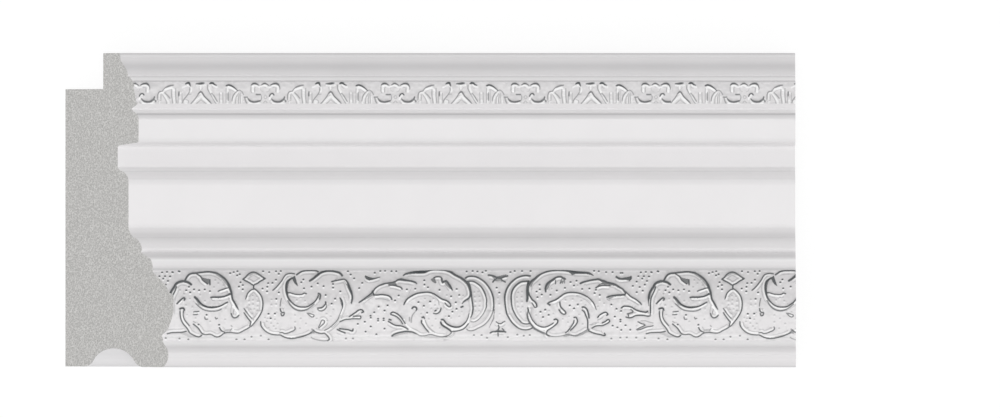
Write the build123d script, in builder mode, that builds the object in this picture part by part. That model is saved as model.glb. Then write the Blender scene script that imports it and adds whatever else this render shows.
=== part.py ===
from build123d import *
from math import cos, radians, sin, tan
import os

# A wall moulding, stored lying on its flat back.
# +X runs along its length, +Y goes up its face from the foot to the lip, +Z is out from the back.
# The origin is the middle of the rectangle that it rests on. Sizes are in millimetres.

# Overall sizes
face_height = 73.0
overall_depth = 26.0
piece_length = 170.0
mitre_angle = 45.0

# Rebate behind the lip, which laps over the edge of a panel
rebate_height = 8.35
rebate_depth = 9.0

# Heights of the members, from the lip down the face
lip_flat = 0.5
ogee_height = 4.85
top_step_height = 0.25
top_bead_height = 0.85
frieze_step_height = 0.15
frieze_height = 5.25
quirk_fall = 1.05
quirk_hollow_height = 1.1
fascia_corner_height = 0.55
fascia_height = 6.25
soffit_fall = 0.75
recess_height = 5.1
splay_height = 0.75
ovolo_height = 2.45
sweep_height = 1.8
upper_bead_height = 3.5
lower_bead_rim_height = 0.8
lower_bead_height = 3.35
torus_height = 14.75
apron_height = 1.8
foot_bead_height = 6.0

# How far each member is set back from the crown of the torus, which is the very front
lip_setback = 13.0
ogee_setback = 11.15
top_step_setback = 10.85
top_bead_setback = 10.15
frieze_top_setback = 9.75
frieze_foot_setback = 8.85
quirk_floor_setback = 10.3
fascia_corner_setback = 9.05
fascia_setback = 8.6
recess_setback = 13.55
splay_setback = 12.9
field_setback = 11.0
sweep_setback = 9.9
upper_bead_setback = 7.85
bead_quirk_setback = 8.0
lower_bead_rim_setback = 6.8
lower_bead_setback = 5.2
torus_foot_setback = 2.0
apron_top_setback = 2.4
apron_foot_setback = 2.9
heel_setback = 2.65

# Curves and rounded corners of the section
top_bead_rise = 0.12
quirk_round = 0.35
quirk_hollow_rise = 0.23
fascia_corner_rise = 0.13
fascia_round = 0.3
recess_round = 0.6
ovolo_rise = 0.6
upper_bead_rise = 0.62
quirk_rise = 0.05
lower_bead_rise = 0.42
weathering_slope = 45.0
foot_bead_rise = 1.1

# Half-round groove in the foot edge, for a cable
groove_radius = 5.5
groove_centre_depth = 11.5
groove_centre_below_foot = 1.2
groove_mouth_round = 1.0

# Drops from the top edge to the joints between members. The plain field takes what is left.
ogee_top = lip_flat
ogee_foot = ogee_top + ogee_height
top_bead_top = ogee_foot + top_step_height
top_bead_foot = top_bead_top + top_bead_height
frieze_top = top_bead_foot + frieze_step_height
frieze_foot = frieze_top + frieze_height
quirk_floor = frieze_foot + quirk_fall
quirk_foot = quirk_floor + quirk_hollow_height
fascia_top = quirk_foot + fascia_corner_height
fascia_foot = fascia_top + fascia_height
recess_top = fascia_foot + soffit_fall
recess_foot = recess_top + recess_height
ovolo_top = recess_foot + splay_height
field_top = ovolo_top + ovolo_height
apron_foot = face_height - foot_bead_height
apron_top = apron_foot - apron_height
torus_top = apron_top - torus_height
lower_bead_top = torus_top - lower_bead_height
bead_quirk = lower_bead_top - lower_bead_rim_height
upper_bead_top = bead_quirk - upper_bead_height
field_foot = upper_bead_top - sweep_height


def on_section(drop, depth):
    """A point of the section: how far below the top edge, and how far out from the back."""
    return (face_height / 2 - drop, depth)


def on_face(drop, setback):
    """A point of the section: how far below the top edge, and how far behind the torus's crown."""
    return on_section(drop, overall_depth - setback)


def midway(start, end):
    return ((start[0] + end[0]) / 2, (start[1] + end[1]) / 2)


def draw_lip_and_ogee():
    """The thin lip, then an S-shaped ogee of two equal arcs, then the step out to a small bead."""
    ogee_start = on_face(ogee_top, lip_setback)
    ogee_end = on_face(ogee_foot, ogee_setback)
    ogee_middle = midway(ogee_start, ogee_end)
    Line(on_face(0, lip_setback), ogee_start)
    hollow = TangentArc(ogee_start, ogee_middle, tangent=(-1, 0))
    TangentArc(ogee_middle, ogee_end, tangent=hollow % 1)
    bead_start = on_face(top_bead_top, top_step_setback)
    Line(ogee_end, bead_start)
    bead_end = on_face(top_bead_foot, top_bead_setback)
    SagittaArc(bead_start, bead_end, -top_bead_rise)
    Line(bead_end, on_face(frieze_top, frieze_top_setback))


def draw_frieze_and_quirk():
    """The leaning frieze, then a quirk that falls back and hollows out again to the fascia."""
    quirk = on_face(quirk_floor, quirk_floor_setback)
    quirk_end = on_face(quirk_foot, fascia_corner_setback)
    FilletPolyline(
        on_face(frieze_top, frieze_top_setback),
        on_face(frieze_foot, frieze_foot_setback),
        quirk,
        radius=[quirk_round],
    )
    SagittaArc(quirk, quirk_end, quirk_hollow_rise)
    SagittaArc(quirk_end, on_face(fascia_top, fascia_setback), -fascia_corner_rise)


def draw_fascia_and_recess():
    """The flat fascia, its soffit, the flat recess under it and the splay at the recess's foot."""
    FilletPolyline(
        on_face(fascia_top, fascia_setback),
        on_face(fascia_foot, fascia_setback),
        on_face(recess_top, recess_setback),
        on_face(recess_foot, recess_setback),
        on_face(ovolo_top, splay_setback),
        radius=[fascia_round, recess_round, recess_round],
    )


def draw_field():
    """An ovolo up to the plain field, and the sweep out of it to the beads."""
    field_start = on_face(field_top, field_setback)
    field_end = on_face(field_foot, field_setback)
    SagittaArc(on_face(ovolo_top, splay_setback), field_start, -ovolo_rise)
    Line(field_start, field_end)
    TangentArc(field_end, on_face(upper_bead_top, sweep_setback), tangent=(-1, 0))


def draw_beads():
    """Two stepped beads with a small quirk between them."""
    upper_start = on_face(upper_bead_top, sweep_setback)
    upper_crown = on_face(upper_bead_top + upper_bead_height * 3 / 4, upper_bead_setback)
    quirk = on_face(bead_quirk, bead_quirk_setback)
    lower_start = on_face(lower_bead_top, lower_bead_rim_setback)
    lower_end = on_face(torus_top, lower_bead_setback)
    SagittaArc(upper_start, upper_crown, -upper_bead_rise)
    SagittaArc(upper_crown, quirk, -quirk_rise)
    Line(quirk, lower_start)
    SagittaArc(lower_start, lower_end, -lower_bead_rise)


def draw_torus():
    """The carved torus: a straight weathering above, then one arc over the crown to its foot.

    The arc is tangent to the weathering, reaches overall_depth and ends at the torus's foot.
    """
    turn = radians(weathering_slope)
    # The radius is found by bisection, because the arc's height grows steadily with it.
    small, large = torus_foot_setback, torus_height * 4
    for _ in range(60):
        radius = (small + large) / 2
        arc_rise = radius * (1 - cos(turn))
        straight = (lower_bead_setback - arc_rise) / tan(turn)
        below_crown = (radius**2 - (radius - torus_foot_setback) ** 2) ** 0.5
        if straight + radius * sin(turn) + below_crown > torus_height:
            large = radius
        else:
            small = radius
    shoulder = on_face(torus_top + straight, arc_rise)
    crown = on_face(torus_top + straight + radius * sin(turn), 0)
    foot = on_face(apron_top, torus_foot_setback)
    Line(on_face(torus_top, lower_bead_setback), shoulder)
    ThreePointArc(shoulder, crown, foot)


def draw_foot():
    """A small step and apron under the torus, and the rounded foot bead down to the bottom edge."""
    apron_start = on_face(apron_top, apron_top_setback)
    apron_end = on_face(apron_foot, apron_foot_setback)
    Line(on_face(apron_top, torus_foot_setback), apron_start)
    Line(apron_start, apron_end)
    SagittaArc(apron_end, on_face(face_height, heel_setback), -foot_bead_rise)


def draw_groove_back_and_rebate():
    """The foot edge with its groove, the flat back, and the rebate behind the lip."""
    half_mouth = (groove_radius**2 - groove_centre_below_foot**2) ** 0.5
    groove_front = on_section(face_height, groove_centre_depth + half_mouth)
    groove_back = on_section(face_height, groove_centre_depth - half_mouth)
    groove_top = on_section(
        face_height + groove_centre_below_foot - groove_radius, groove_centre_depth
    )
    Line(on_face(face_height, heel_setback), groove_front)
    ThreePointArc(groove_front, groove_top, groove_back)
    Polyline(
        groove_back,
        on_section(face_height, 0),
        on_section(rebate_height, 0),
        on_section(rebate_height, rebate_depth),
        on_section(0, rebate_depth),
        on_face(0, lip_setback),
    )


# The left end is mitred for an inside corner, so its cut plane leans back from the front.
mitre = Plane(
    origin=(-piece_length / 2, 0, 0),
    z_dir=(cos(radians(mitre_angle)), 0, -sin(radians(mitre_angle))),
)

with BuildPart() as moulding:
    with BuildSketch(Plane.YZ.offset(-piece_length / 2)) as section:
        with BuildLine() as outline:
            draw_lip_and_ogee()
            draw_frieze_and_quirk()
            draw_fascia_and_recess()
            draw_field()
            draw_beads()
            draw_torus()
            draw_foot()
            draw_groove_back_and_rebate()
        make_face()
        groove_mouth = section.vertices().group_by(Axis.X)[0].sort_by(Axis.Y)[1:3]
        fillet(groove_mouth, radius=groove_mouth_round)
    extrude(amount=piece_length)
    split(bisect_by=mitre, keep=Keep.TOP)

moulding.part.label = "moulding"

os.makedirs("parts", exist_ok=True)
export_step(moulding.part, "parts/moulding.step")
print("volume, cubic millimetres:", round(moulding.part.volume, 1))
print("bounding box:", moulding.part.bounding_box())
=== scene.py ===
# %% [markdown]
# This is a length of wall moulding in white foamed polystyrene, lying on its flat back on a pale
# floor while the camera looks straight down on its face. The left end is mitred, so the raw foam
# of the cut shows beside the face. The model loaded here is the moulding's plain solid, and the
# lesson dresses it in five closed pieces: a body, a carved torus in three lengths and a carved
# frieze.

# %% load the frame
from math import acos, asin, atan2, cos, hypot, pi, radians, sin, sqrt, tan
import bmesh
import bpy
import numpy as np
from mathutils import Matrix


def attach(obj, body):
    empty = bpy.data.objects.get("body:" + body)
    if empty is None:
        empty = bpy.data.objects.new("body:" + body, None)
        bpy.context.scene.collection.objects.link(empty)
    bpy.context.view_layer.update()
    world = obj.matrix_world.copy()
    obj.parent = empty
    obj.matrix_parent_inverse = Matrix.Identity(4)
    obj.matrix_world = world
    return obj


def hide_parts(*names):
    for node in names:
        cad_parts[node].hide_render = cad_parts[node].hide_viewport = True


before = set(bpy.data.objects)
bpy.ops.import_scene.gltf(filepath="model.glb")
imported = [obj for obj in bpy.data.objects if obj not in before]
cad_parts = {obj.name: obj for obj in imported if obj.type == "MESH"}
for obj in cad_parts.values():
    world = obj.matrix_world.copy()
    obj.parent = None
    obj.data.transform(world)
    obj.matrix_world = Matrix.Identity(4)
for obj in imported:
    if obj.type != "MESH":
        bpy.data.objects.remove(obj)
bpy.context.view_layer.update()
print("nodes to dress:", list(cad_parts))

# %% [markdown]
# Every place on the moulding is given as on a drawing of it, in millimetres: u runs along the
# length from the mitre's tip, h goes down the face from the top edge, and d is the depth from the
# back. One function turns these into the frame's metres.

# %% sizes and places
MM = 0.001
LENGTH = 170.0
FACE_HEIGHT = 73.0


def place(u, h, d):
    return ((u - LENGTH / 2) * MM, (FACE_HEIGHT / 2 - h) * MM, d * MM)


print("crown of the torus at the square end:", place(170, 59.5, 26))

# %% [markdown]
# The camera looks straight down from over four metres through a long lens, so the face is seen
# almost without perspective, as in the photograph. The lens is worked out from the width of the
# view at the height of the face.

# %% camera
VIEW_WIDTH = 232.63
VIEW_CENTRE = (16.36, 0.21)
FACE_LEVEL = 12.0
CAMERA_HEIGHT = 4400.0
SENSOR_WIDTH = 36.0

camera_data = bpy.data.cameras.new("photo_camera")
camera_data.sensor_width = SENSOR_WIDTH
camera_data.lens = SENSOR_WIDTH * (CAMERA_HEIGHT - FACE_LEVEL) / VIEW_WIDTH
camera_data.clip_end = 20.0
camera = bpy.data.objects.new("photo_camera", camera_data)
camera.location = (VIEW_CENTRE[0] * MM, VIEW_CENTRE[1] * MM, CAMERA_HEIGHT * MM)
bpy.context.collection.objects.link(camera)
bpy.context.scene.camera = camera
print("lens, mm:", round(camera_data.lens, 1))

# %% [markdown]
# The light is that of a product photograph: a bright even tent, a soft box beside the camera and
# a weak soft lamp from below the picture. The tent darkens only sheltered places. The soft box
# gives the satin coat a sheen on whatever faces the camera squarely, and the low lamp makes faces
# that look down the picture a little lighter than those that look up it. On a face square to the
# camera the three add up to about one, so a colour renders there as it is written.

# %% light and world
SKY_LEVEL = 0.66
SOFT_BOX_LEVEL, SOFT_BOX_WIDTH = 0.22, 30
LOW_LAMP_LEVEL, LOW_LAMP_WIDTH, LOW_LAMP_TILT = 0.2, 60, 45


def add_lamp(name, level, width, tilt):
    """A distant soft lamp. Its level is what it gives a white face turned straight to it."""
    lamp_data = bpy.data.lights.new(name, "SUN")
    lamp_data.energy = level * pi
    lamp_data.angle = radians(width)
    lamp = bpy.data.objects.new(name, lamp_data)
    lamp.rotation_euler = (radians(tilt), 0, 0)
    bpy.context.collection.objects.link(lamp)
    return lamp


add_lamp("soft_box", SOFT_BOX_LEVEL, SOFT_BOX_WIDTH, 0)
add_lamp("low_lamp", LOW_LAMP_LEVEL, LOW_LAMP_WIDTH, LOW_LAMP_TILT)
square_light = SKY_LEVEL + SOFT_BOX_LEVEL + LOW_LAMP_LEVEL * cos(radians(LOW_LAMP_TILT))
print("light on a face square to the camera:", round(square_light, 2))

# %% [markdown]
# Shaders take linear colour, and people write sRGB hex, so one function turns one into the other.
# Another adds a node with its settings and links. The world is the tent: the camera sees it pure
# white, and the moulding gets its softer level.

# %% colours, nodes and the tent
def linear(hex_colour):
    """A colour written as sRGB hex, turned to the linear values that a shader takes."""
    channels = [int(hex_colour[i:i + 2], 16) / 255 for i in (1, 3, 5)]
    return [c / 12.92 if c <= 0.04045 else ((c + 0.055) / 1.055) ** 2.4 for c in channels] + [1.0]


def add_node(tree, kind, settings=None, **links):
    """Add a node. A link is named for its socket, and is a value or another node's output."""
    node = tree.nodes.new(kind)
    for name, value in (settings or {}).items():
        setattr(node, name, value)
    for name, value in links.items():
        key = int(name[1:]) if name[1:].isdigit() else name.replace("_", " ")
        socket = node.inputs[key]
        if isinstance(value, bpy.types.NodeSocket):
            tree.links.new(value, socket)
        else:
            socket.default_value = value
    return node


world = bpy.data.worlds.new("pale_studio")
bpy.context.scene.world = world
world.use_nodes = True
sky = world.node_tree
sky.nodes.clear()
sight = add_node(sky, "ShaderNodeLightPath")
dim_sky = add_node(sky, "ShaderNodeBackground", Color=linear("#FFFFFF"), Strength=SKY_LEVEL)
white_sky = add_node(sky, "ShaderNodeBackground", Color=linear("#FFFFFF"), Strength=1.0)
seen = add_node(
    sky,
    "ShaderNodeMixShader",
    i0=sight.outputs["Is Camera Ray"],
    i1=dim_sky.outputs[0],
    i2=white_sky.outputs[0],
)
add_node(sky, "ShaderNodeOutputWorld", Surface=seen.outputs[0])
bpy.context.scene.view_settings.view_transform = "Standard"
print("mid grey in linear light:", round(linear("#808080")[0], 3))

# %% [markdown]
# The floor is plain and pale. The camera sees it mostly as white paper, and about a seventh of
# what it sees is the real lit floor, so the moulding's shadow stays on it.

# %% floor
FLOOR_GAP = 0.2
WHITE_SHARE = 0.85
PAPER_LEVEL = 1.04

bpy.ops.object.select_all(action="DESELECT")
bpy.ops.mesh.primitive_plane_add(size=6.0, location=(0, 0, -FLOOR_GAP * MM))
floor = bpy.context.object
floor.name = "floor"
floor_paint = bpy.data.materials.new("white_paper_floor")
floor_paint.use_nodes = True
paper = floor_paint.node_tree
paper.nodes.clear()
sight = add_node(paper, "ShaderNodeLightPath")
sight_or_gloss = add_node(
    paper,
    "ShaderNodeMath",
    {"operation": "MAXIMUM"},
    i0=sight.outputs["Is Camera Ray"],
    i1=sight.outputs["Is Glossy Ray"],
)
share = add_node(
    paper,
    "ShaderNodeMath",
    {"operation": "MULTIPLY"},
    i0=sight_or_gloss.outputs[0],
    i1=WHITE_SHARE,
)
lit_paper = add_node(paper, "ShaderNodeBsdfDiffuse", Color=linear("#F4F4F4"))
white_paper = add_node(
    paper, "ShaderNodeEmission", Color=linear("#FFFFFF"), Strength=PAPER_LEVEL
)
seen = add_node(
    paper,
    "ShaderNodeMixShader",
    i0=share.outputs[0],
    i1=lit_paper.outputs[0],
    i2=white_paper.outputs[0],
)
add_node(paper, "ShaderNodeOutputMaterial", Surface=seen.outputs[0])
floor.data.materials.append(floor_paint)
print("floor is", round(floor.dimensions.x, 1), "metres across")

# %% [markdown]
# The face of the real thing is foamed polystyrene, extruded through a die and embossed between
# warm rollers, then coated white. The coat is a satin plastic: an index of refraction of 1.5, and
# a roughness of a quarter, which spreads a soft box into a sheen on the faces that look at it. Two
# attributes, set on the body and while the bands are carved, hold painted light: painted shade, a
# dark grey on the carving's walls that face up the picture, in creases and in hollows, and painted
# highlights, a near white on walls that face down the picture and on rims. The coat's grain is
# about half a millimetre, and its colour drifts a little in clouds of nine millimetres.

# %% coated face
COAT_GRAIN = 0.5
COAT_CLOUD = 9


def new_material(name):
    material = bpy.data.materials.new(name)
    material.use_nodes = True
    material.node_tree.nodes.clear()
    return material, material.node_tree


coated_face, coat = new_material("satin_white_coat")
coat_place = add_node(coat, "ShaderNodeTexCoord")
coat_grain = add_node(
    coat,
    "ShaderNodeTexNoise",
    Vector=coat_place.outputs["Object"],
    Scale=1 / (COAT_GRAIN * MM),
    Detail=3.0,
    Roughness=0.6,
)
coat_cloud = add_node(
    coat,
    "ShaderNodeTexNoise",
    Vector=coat_place.outputs["Object"],
    Scale=1 / (COAT_CLOUD * MM),
    Detail=2.0,
)
coat_colour = add_node(
    coat,
    "ShaderNodeMix",
    {"data_type": "RGBA"},
    i0=coat_cloud.outputs["Fac"],
    i6=linear("#DCDADB"),
    i7=linear("#E1DFE0"),
)
# Painted shade: the coat colour is darkened toward dark grey #4E5254 as far as the shade attribute
# says.
glaze = add_node(coat, "ShaderNodeAttribute", {"attribute_name": "painted_shade_and_mottle"})
painted_highlight = add_node(coat, "ShaderNodeAttribute", {"attribute_name": "painted_highlight"})
glazed = add_node(
    coat,
    "ShaderNodeMix",
    {"data_type": "RGBA"},
    i0=glaze.outputs["Fac"],
    i6=coat_colour.outputs[2],
    i7=linear("#4E5254"),
)
# Painted highlight: the colour is lightened toward near white #FBFBFB where the highlight
# attribute says.
highlighted_coat = add_node(
    coat,
    "ShaderNodeMix",
    {"data_type": "RGBA"},
    i0=painted_highlight.outputs["Fac"],
    i6=glazed.outputs[2],
    i7=linear("#FBFBFB"),
)
coat_bump = add_node(
    coat,
    "ShaderNodeBump",
    Height=coat_grain.outputs["Fac"],
    Distance=0.03 * MM,
    Strength=0.5,
)
coat_surface = add_node(
    coat,
    "ShaderNodeBsdfPrincipled",
    Base_Color=highlighted_coat.outputs[2],
    Roughness=0.24,
    IOR=1.5,
    Specular_IOR_Level=0.5,
    Normal=coat_bump.outputs[0],
)
add_node(coat, "ShaderNodeOutputMaterial", Surface=coat_surface.outputs[0])
print("coat's grain, mm:", COAT_GRAIN)

# %% [markdown]
# Where the length was sawn, the inside of the foam is open: closed cells a few tenths of a
# millimetre across, half of them torn, so the face is grey and speckled and quite rough. Cell
# texture at that size gives the speckle and the bump. The cells are drawn at 0.35 mm, a little
# coarser than real, and clumps of half a millimetre lie over them, so that they show in the
# picture.

# %% sawn foam
FOAM_CELL = 0.35
FOAM_CLUMP = 0.5

sawn_foam, foam = new_material("sawn_polystyrene_foam")
foam_place = add_node(foam, "ShaderNodeTexCoord")
foam_cells = add_node(
    foam,
    "ShaderNodeTexVoronoi",
    Vector=foam_place.outputs["Object"],
    Scale=1 / (FOAM_CELL * MM),
)
foam_clumps = add_node(
    foam,
    "ShaderNodeTexNoise",
    Vector=foam_place.outputs["Object"],
    Scale=1 / (FOAM_CLUMP * MM),
    Detail=4.0,
    Roughness=0.7,
)
foam_mix = add_node(
    foam,
    "ShaderNodeMix",
    {"data_type": "FLOAT"},
    i0=0.5,
    i2=foam_cells.outputs["Distance"],
    i3=foam_clumps.outputs["Fac"],
)
foam_tones = add_node(foam, "ShaderNodeValToRGB", Fac=foam_mix.outputs[0])
torn_cell, whole_cell = foam_tones.color_ramp.elements
torn_cell.position, torn_cell.color = 0.3, linear("#A6A5A3")
whole_cell.position, whole_cell.color = 0.68, linear("#D3D2D0")
foam_bump = add_node(
    foam, "ShaderNodeBump", Height=foam_mix.outputs[0], Distance=0.15 * MM, Strength=0.6
)
foam_surface = add_node(
    foam,
    "ShaderNodeBsdfPrincipled",
    Base_Color=foam_tones.outputs[0],
    Roughness=0.9,
    IOR=1.5,
    Specular_IOR_Level=0.15,
    Normal=foam_bump.outputs[0],
)
add_node(foam, "ShaderNodeOutputMaterial", Surface=foam_surface.outputs[0])
print("foam cell, mm:", FOAM_CELL)

# %% [markdown]
# The back, the rebate and the groove are never coated. They keep the skin that the die leaves:
# white polystyrene with faint draw lines along the length and a dull surface. A noise stretched
# along the length by a Mapping node draws the lines, about a millimetre apart.

# %% extruded skin
DRAW_LINE = 0.9

extruded_skin, skin = new_material("extruded_polystyrene_skin")
skin_place = add_node(skin, "ShaderNodeTexCoord")
skin_stretch = add_node(
    skin, "ShaderNodeMapping", Vector=skin_place.outputs["Object"], Scale=(0.02, 1.0, 1.0)
)
draw_lines = add_node(
    skin,
    "ShaderNodeTexNoise",
    Vector=skin_stretch.outputs[0],
    Scale=1 / (DRAW_LINE * MM),
    Detail=3.0,
)
skin_colour = add_node(
    skin,
    "ShaderNodeMix",
    {"data_type": "RGBA"},
    i0=draw_lines.outputs["Fac"],
    i6=linear("#D3D2D3"),
    i7=linear("#DEDDDE"),
)
skin_bump = add_node(
    skin,
    "ShaderNodeBump",
    Height=draw_lines.outputs["Fac"],
    Distance=0.08 * MM,
    Strength=0.5,
)
skin_surface = add_node(
    skin,
    "ShaderNodeBsdfPrincipled",
    Base_Color=skin_colour.outputs[2],
    Roughness=0.62,
    IOR=1.55,
    Specular_IOR_Level=0.3,
    Normal=skin_bump.outputs[0],
)
add_node(skin, "ShaderNodeOutputMaterial", Surface=skin_surface.outputs[0])
print("draw lines, mm apart:", DRAW_LINE)

# %% [markdown]
# The body is one section drawn as the die cuts it, run out along the length. Lines, arcs and
# small rounds are enough to draw it. Each arc is sampled finely, so that smooth shading has
# nothing to hide. Where the two carved bands go, the section has a rectangular recess, and each
# band is a closed piece that fills its recess and meets the body only at a crease of the section.

# %% lines and arcs of the section
def arc_points(centre, radius, start, end, steps):
    """Points from start to end, both counted, the short way round a centre."""
    first = atan2(start[1] - centre[1], start[0] - centre[0])
    last = atan2(end[1] - centre[1], end[0] - centre[0])
    turn = (last - first + pi) % (2 * pi) - pi
    angles = [first + turn * i / steps for i in range(steps + 1)]
    return [(centre[0] + radius * cos(a), centre[1] + radius * sin(a)) for a in angles]


def arc_between(start, end, rise, steps=12):
    """Points after start, up to end, on an arc that rises outwards from the chord by rise."""
    (h0, d0), (h1, d1) = start, end
    chord = hypot(h1 - h0, d1 - d0)
    out_h, out_d = -(d1 - d0) / chord, (h1 - h0) / chord
    radius = (chord**2 / 4 + rise**2) / (2 * abs(rise))
    toward = 1 if rise > 0 else -1
    centre_h = (h0 + h1) / 2 - out_h * toward * (radius - abs(rise))
    centre_d = (d0 + d1) / 2 - out_d * toward * (radius - abs(rise))
    return arc_points((centre_h, centre_d), radius, start, end, steps)[1:]


def arc_leaving(start, end, direction, steps=12):
    """Points after start, up to end, on the arc that leaves start in a direction."""
    across = (-direction[1], direction[0])
    run = (end[0] - start[0], end[1] - start[1])
    offset = run[0] * across[0] + run[1] * across[1]
    radius = (run[0] ** 2 + run[1] ** 2) / (2 * offset)
    centre = (start[0] + across[0] * radius, start[1] + across[1] * radius)
    return arc_points(centre, abs(radius), start, end, steps)[1:]


def rounded_corner(before, corner, after, radius, steps=6):
    """Points on a small round that replaces a corner."""
    to_before = (before[0] - corner[0], before[1] - corner[1])
    to_after = (after[0] - corner[0], after[1] - corner[1])
    length_before, length_after = hypot(*to_before), hypot(*to_after)
    one = (to_before[0] / length_before, to_before[1] / length_before)
    two = (to_after[0] / length_after, to_after[1] / length_after)
    half = acos(max(-1, min(1, one[0] * two[0] + one[1] * two[1]))) / 2
    back = radius / tan(half)
    start = (corner[0] + one[0] * back, corner[1] + one[1] * back)
    end = (corner[0] + two[0] * back, corner[1] + two[1] * back)
    middle = (one[0] + two[0], one[1] + two[1])
    size = hypot(*middle)
    reach = radius / sin(half)
    centre = (corner[0] + middle[0] / size * reach, corner[1] + middle[1] / size * reach)
    return arc_points(centre, radius, start, end, steps)


print("an arc rises to", round(max(p[1] for p in arc_between((0, 0), (3, 0), 0.5)), 3), "mm")

# %% the section from the lip to the foot bead
FRIEZE_TOP, FRIEZE_FOOT = 6.6, 11.85
FRIEZE_START, FRIEZE_END = 16.25, 17.15
TORUS_TOP, TORUS_FOOT = 50.45, 67.0
TORUS_START, TORUS_END = 20.8, 23.1
FRIEZE_BED, TORUS_BED = 14.4, 19.0
FASCIA, RECESS, FIELD = 17.4, 12.45, 15.0

# lip, then an ogee whose second half is its first half turned round, and a small bead
ogee_start, ogee_middle, bead_start = (0.5, 13.0), (2.925, 13.925), (5.6, 15.15)
ogee = [ogee_start] + arc_leaving(ogee_start, ogee_middle, (1, 0))
section = [(0, 12.75), (0.1, 12.9), (0.3, 12.98)] + ogee
section += [(2 * ogee_middle[0] - h, 2 * ogee_middle[1] - d) for h, d in reversed(ogee[:-1])]
section += [bead_start] + arc_between(bead_start, (6.45, 15.85), 0.12, 8)

# recess for the frieze
section += [(FRIEZE_TOP, FRIEZE_START), (FRIEZE_TOP, FRIEZE_BED)]
section += [(FRIEZE_FOOT, FRIEZE_BED), (FRIEZE_FOOT, FRIEZE_END)]

# quirk, fascia, its soffit and the flat recess under it
section += [(12.02, 17.02), (12.95, 15.75), (13.15, 15.75)]
section += arc_between((13.15, 15.75), (14.1, 16.95), -0.08, 8)
section += arc_between((14.1, 16.95), (15.7, FASCIA), 0.13, 12)
fascia_corner, recess_corner, recess_foot = (20.8, FASCIA), (21.55, RECESS), (26.65, RECESS)
section += [(18.9, FASCIA), (19.6, FASCIA)]
section += rounded_corner((19.6, FASCIA), fascia_corner, recess_corner, 0.5)
section += rounded_corner(fascia_corner, recess_corner, recess_foot, 0.6)
section += [(22.5, RECESS), (23.2, RECESS), (25.6, RECESS)]

# splay, ovolo, plain field and the sweep out of it
splay_foot, sweep_foot = (27.4, 13.1), (42.8, 16.1)
section += rounded_corner(recess_corner, recess_foot, splay_foot, 0.6) + [splay_foot]
section += arc_between(splay_foot, (29.85, 14.98), 0.56)
section += [(30.4, FIELD), (30.9, FIELD), (39.6, FIELD), (40.2, FIELD)]
section += arc_leaving((40.2, FIELD), sweep_foot, (1, 0))

# two beads with a small quirk between them, the recess for the torus and the foot bead
section += arc_between(sweep_foot, (45.6, 18.15), 0.52)
section += arc_between((45.6, 18.15), (46.3, 18.0), 0.04, 6)
section += [(46.5, 18.12), (47.25, 19.25)]
section += arc_between((47.25, 19.25), (48.2, 20.4), 0.08, 8)
section += arc_between((48.2, 20.4), (TORUS_TOP, TORUS_START), 0.08)
section += [(TORUS_TOP, TORUS_BED), (TORUS_FOOT, TORUS_BED), (TORUS_FOOT, TORUS_END)]
section += arc_between((TORUS_FOOT, TORUS_END), (68.35, 24.02), -0.1, 8)
section += arc_between((68.35, 24.02), (FACE_HEIGHT, 23.3), 0.72, 16)
print("points on the face of the section:", len(section))

# %% [markdown]
# The foot edge has a half-round groove, which leaves room for a cable. Its mouth is well rounded,
# because foam crumbles at a sharp corner. Each round touches both the groove and the flat foot
# edge, so its centre lies one round's radius inside the edge, and that fixes the angle at which
# the two arcs meet.

# %% the section's groove, back and rebate
GROOVE_RADIUS, GROOVE_DEPTH, GROOVE_BELOW, MOUTH_ROUND = 5.5, 11.5, 1.2, 2.5
REBATE_HEIGHT, REBATE_DEPTH = 8.35, 9.0

mouth_angle = asin((GROOVE_BELOW + MOUTH_ROUND) / (GROOVE_RADIUS + MOUTH_ROUND))
half_mouth = (GROOVE_RADIUS + MOUTH_ROUND) * cos(mouth_angle)
mouth = [
    (FACE_HEIGHT - MOUTH_ROUND * (1 - cos(turn)), half_mouth - MOUTH_ROUND * sin(turn))
    for turn in np.linspace(0, pi / 2 - mouth_angle, 9)
]
groove = [
    (FACE_HEIGHT + GROOVE_BELOW - GROOVE_RADIUS * sin(turn), GROOVE_RADIUS * cos(turn))
    for turn in np.linspace(mouth_angle, pi - mouth_angle, 27)[1:-1]
]
groove = mouth + groove + [(h, -d) for h, d in reversed(mouth)]
section += [(h, GROOVE_DEPTH + d) for h, d in groove]
section += [(FACE_HEIGHT, 0), (REBATE_HEIGHT, 0), (REBATE_HEIGHT, REBATE_DEPTH), (0, REBATE_DEPTH)]
print("points on the section:", len(section))
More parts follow.
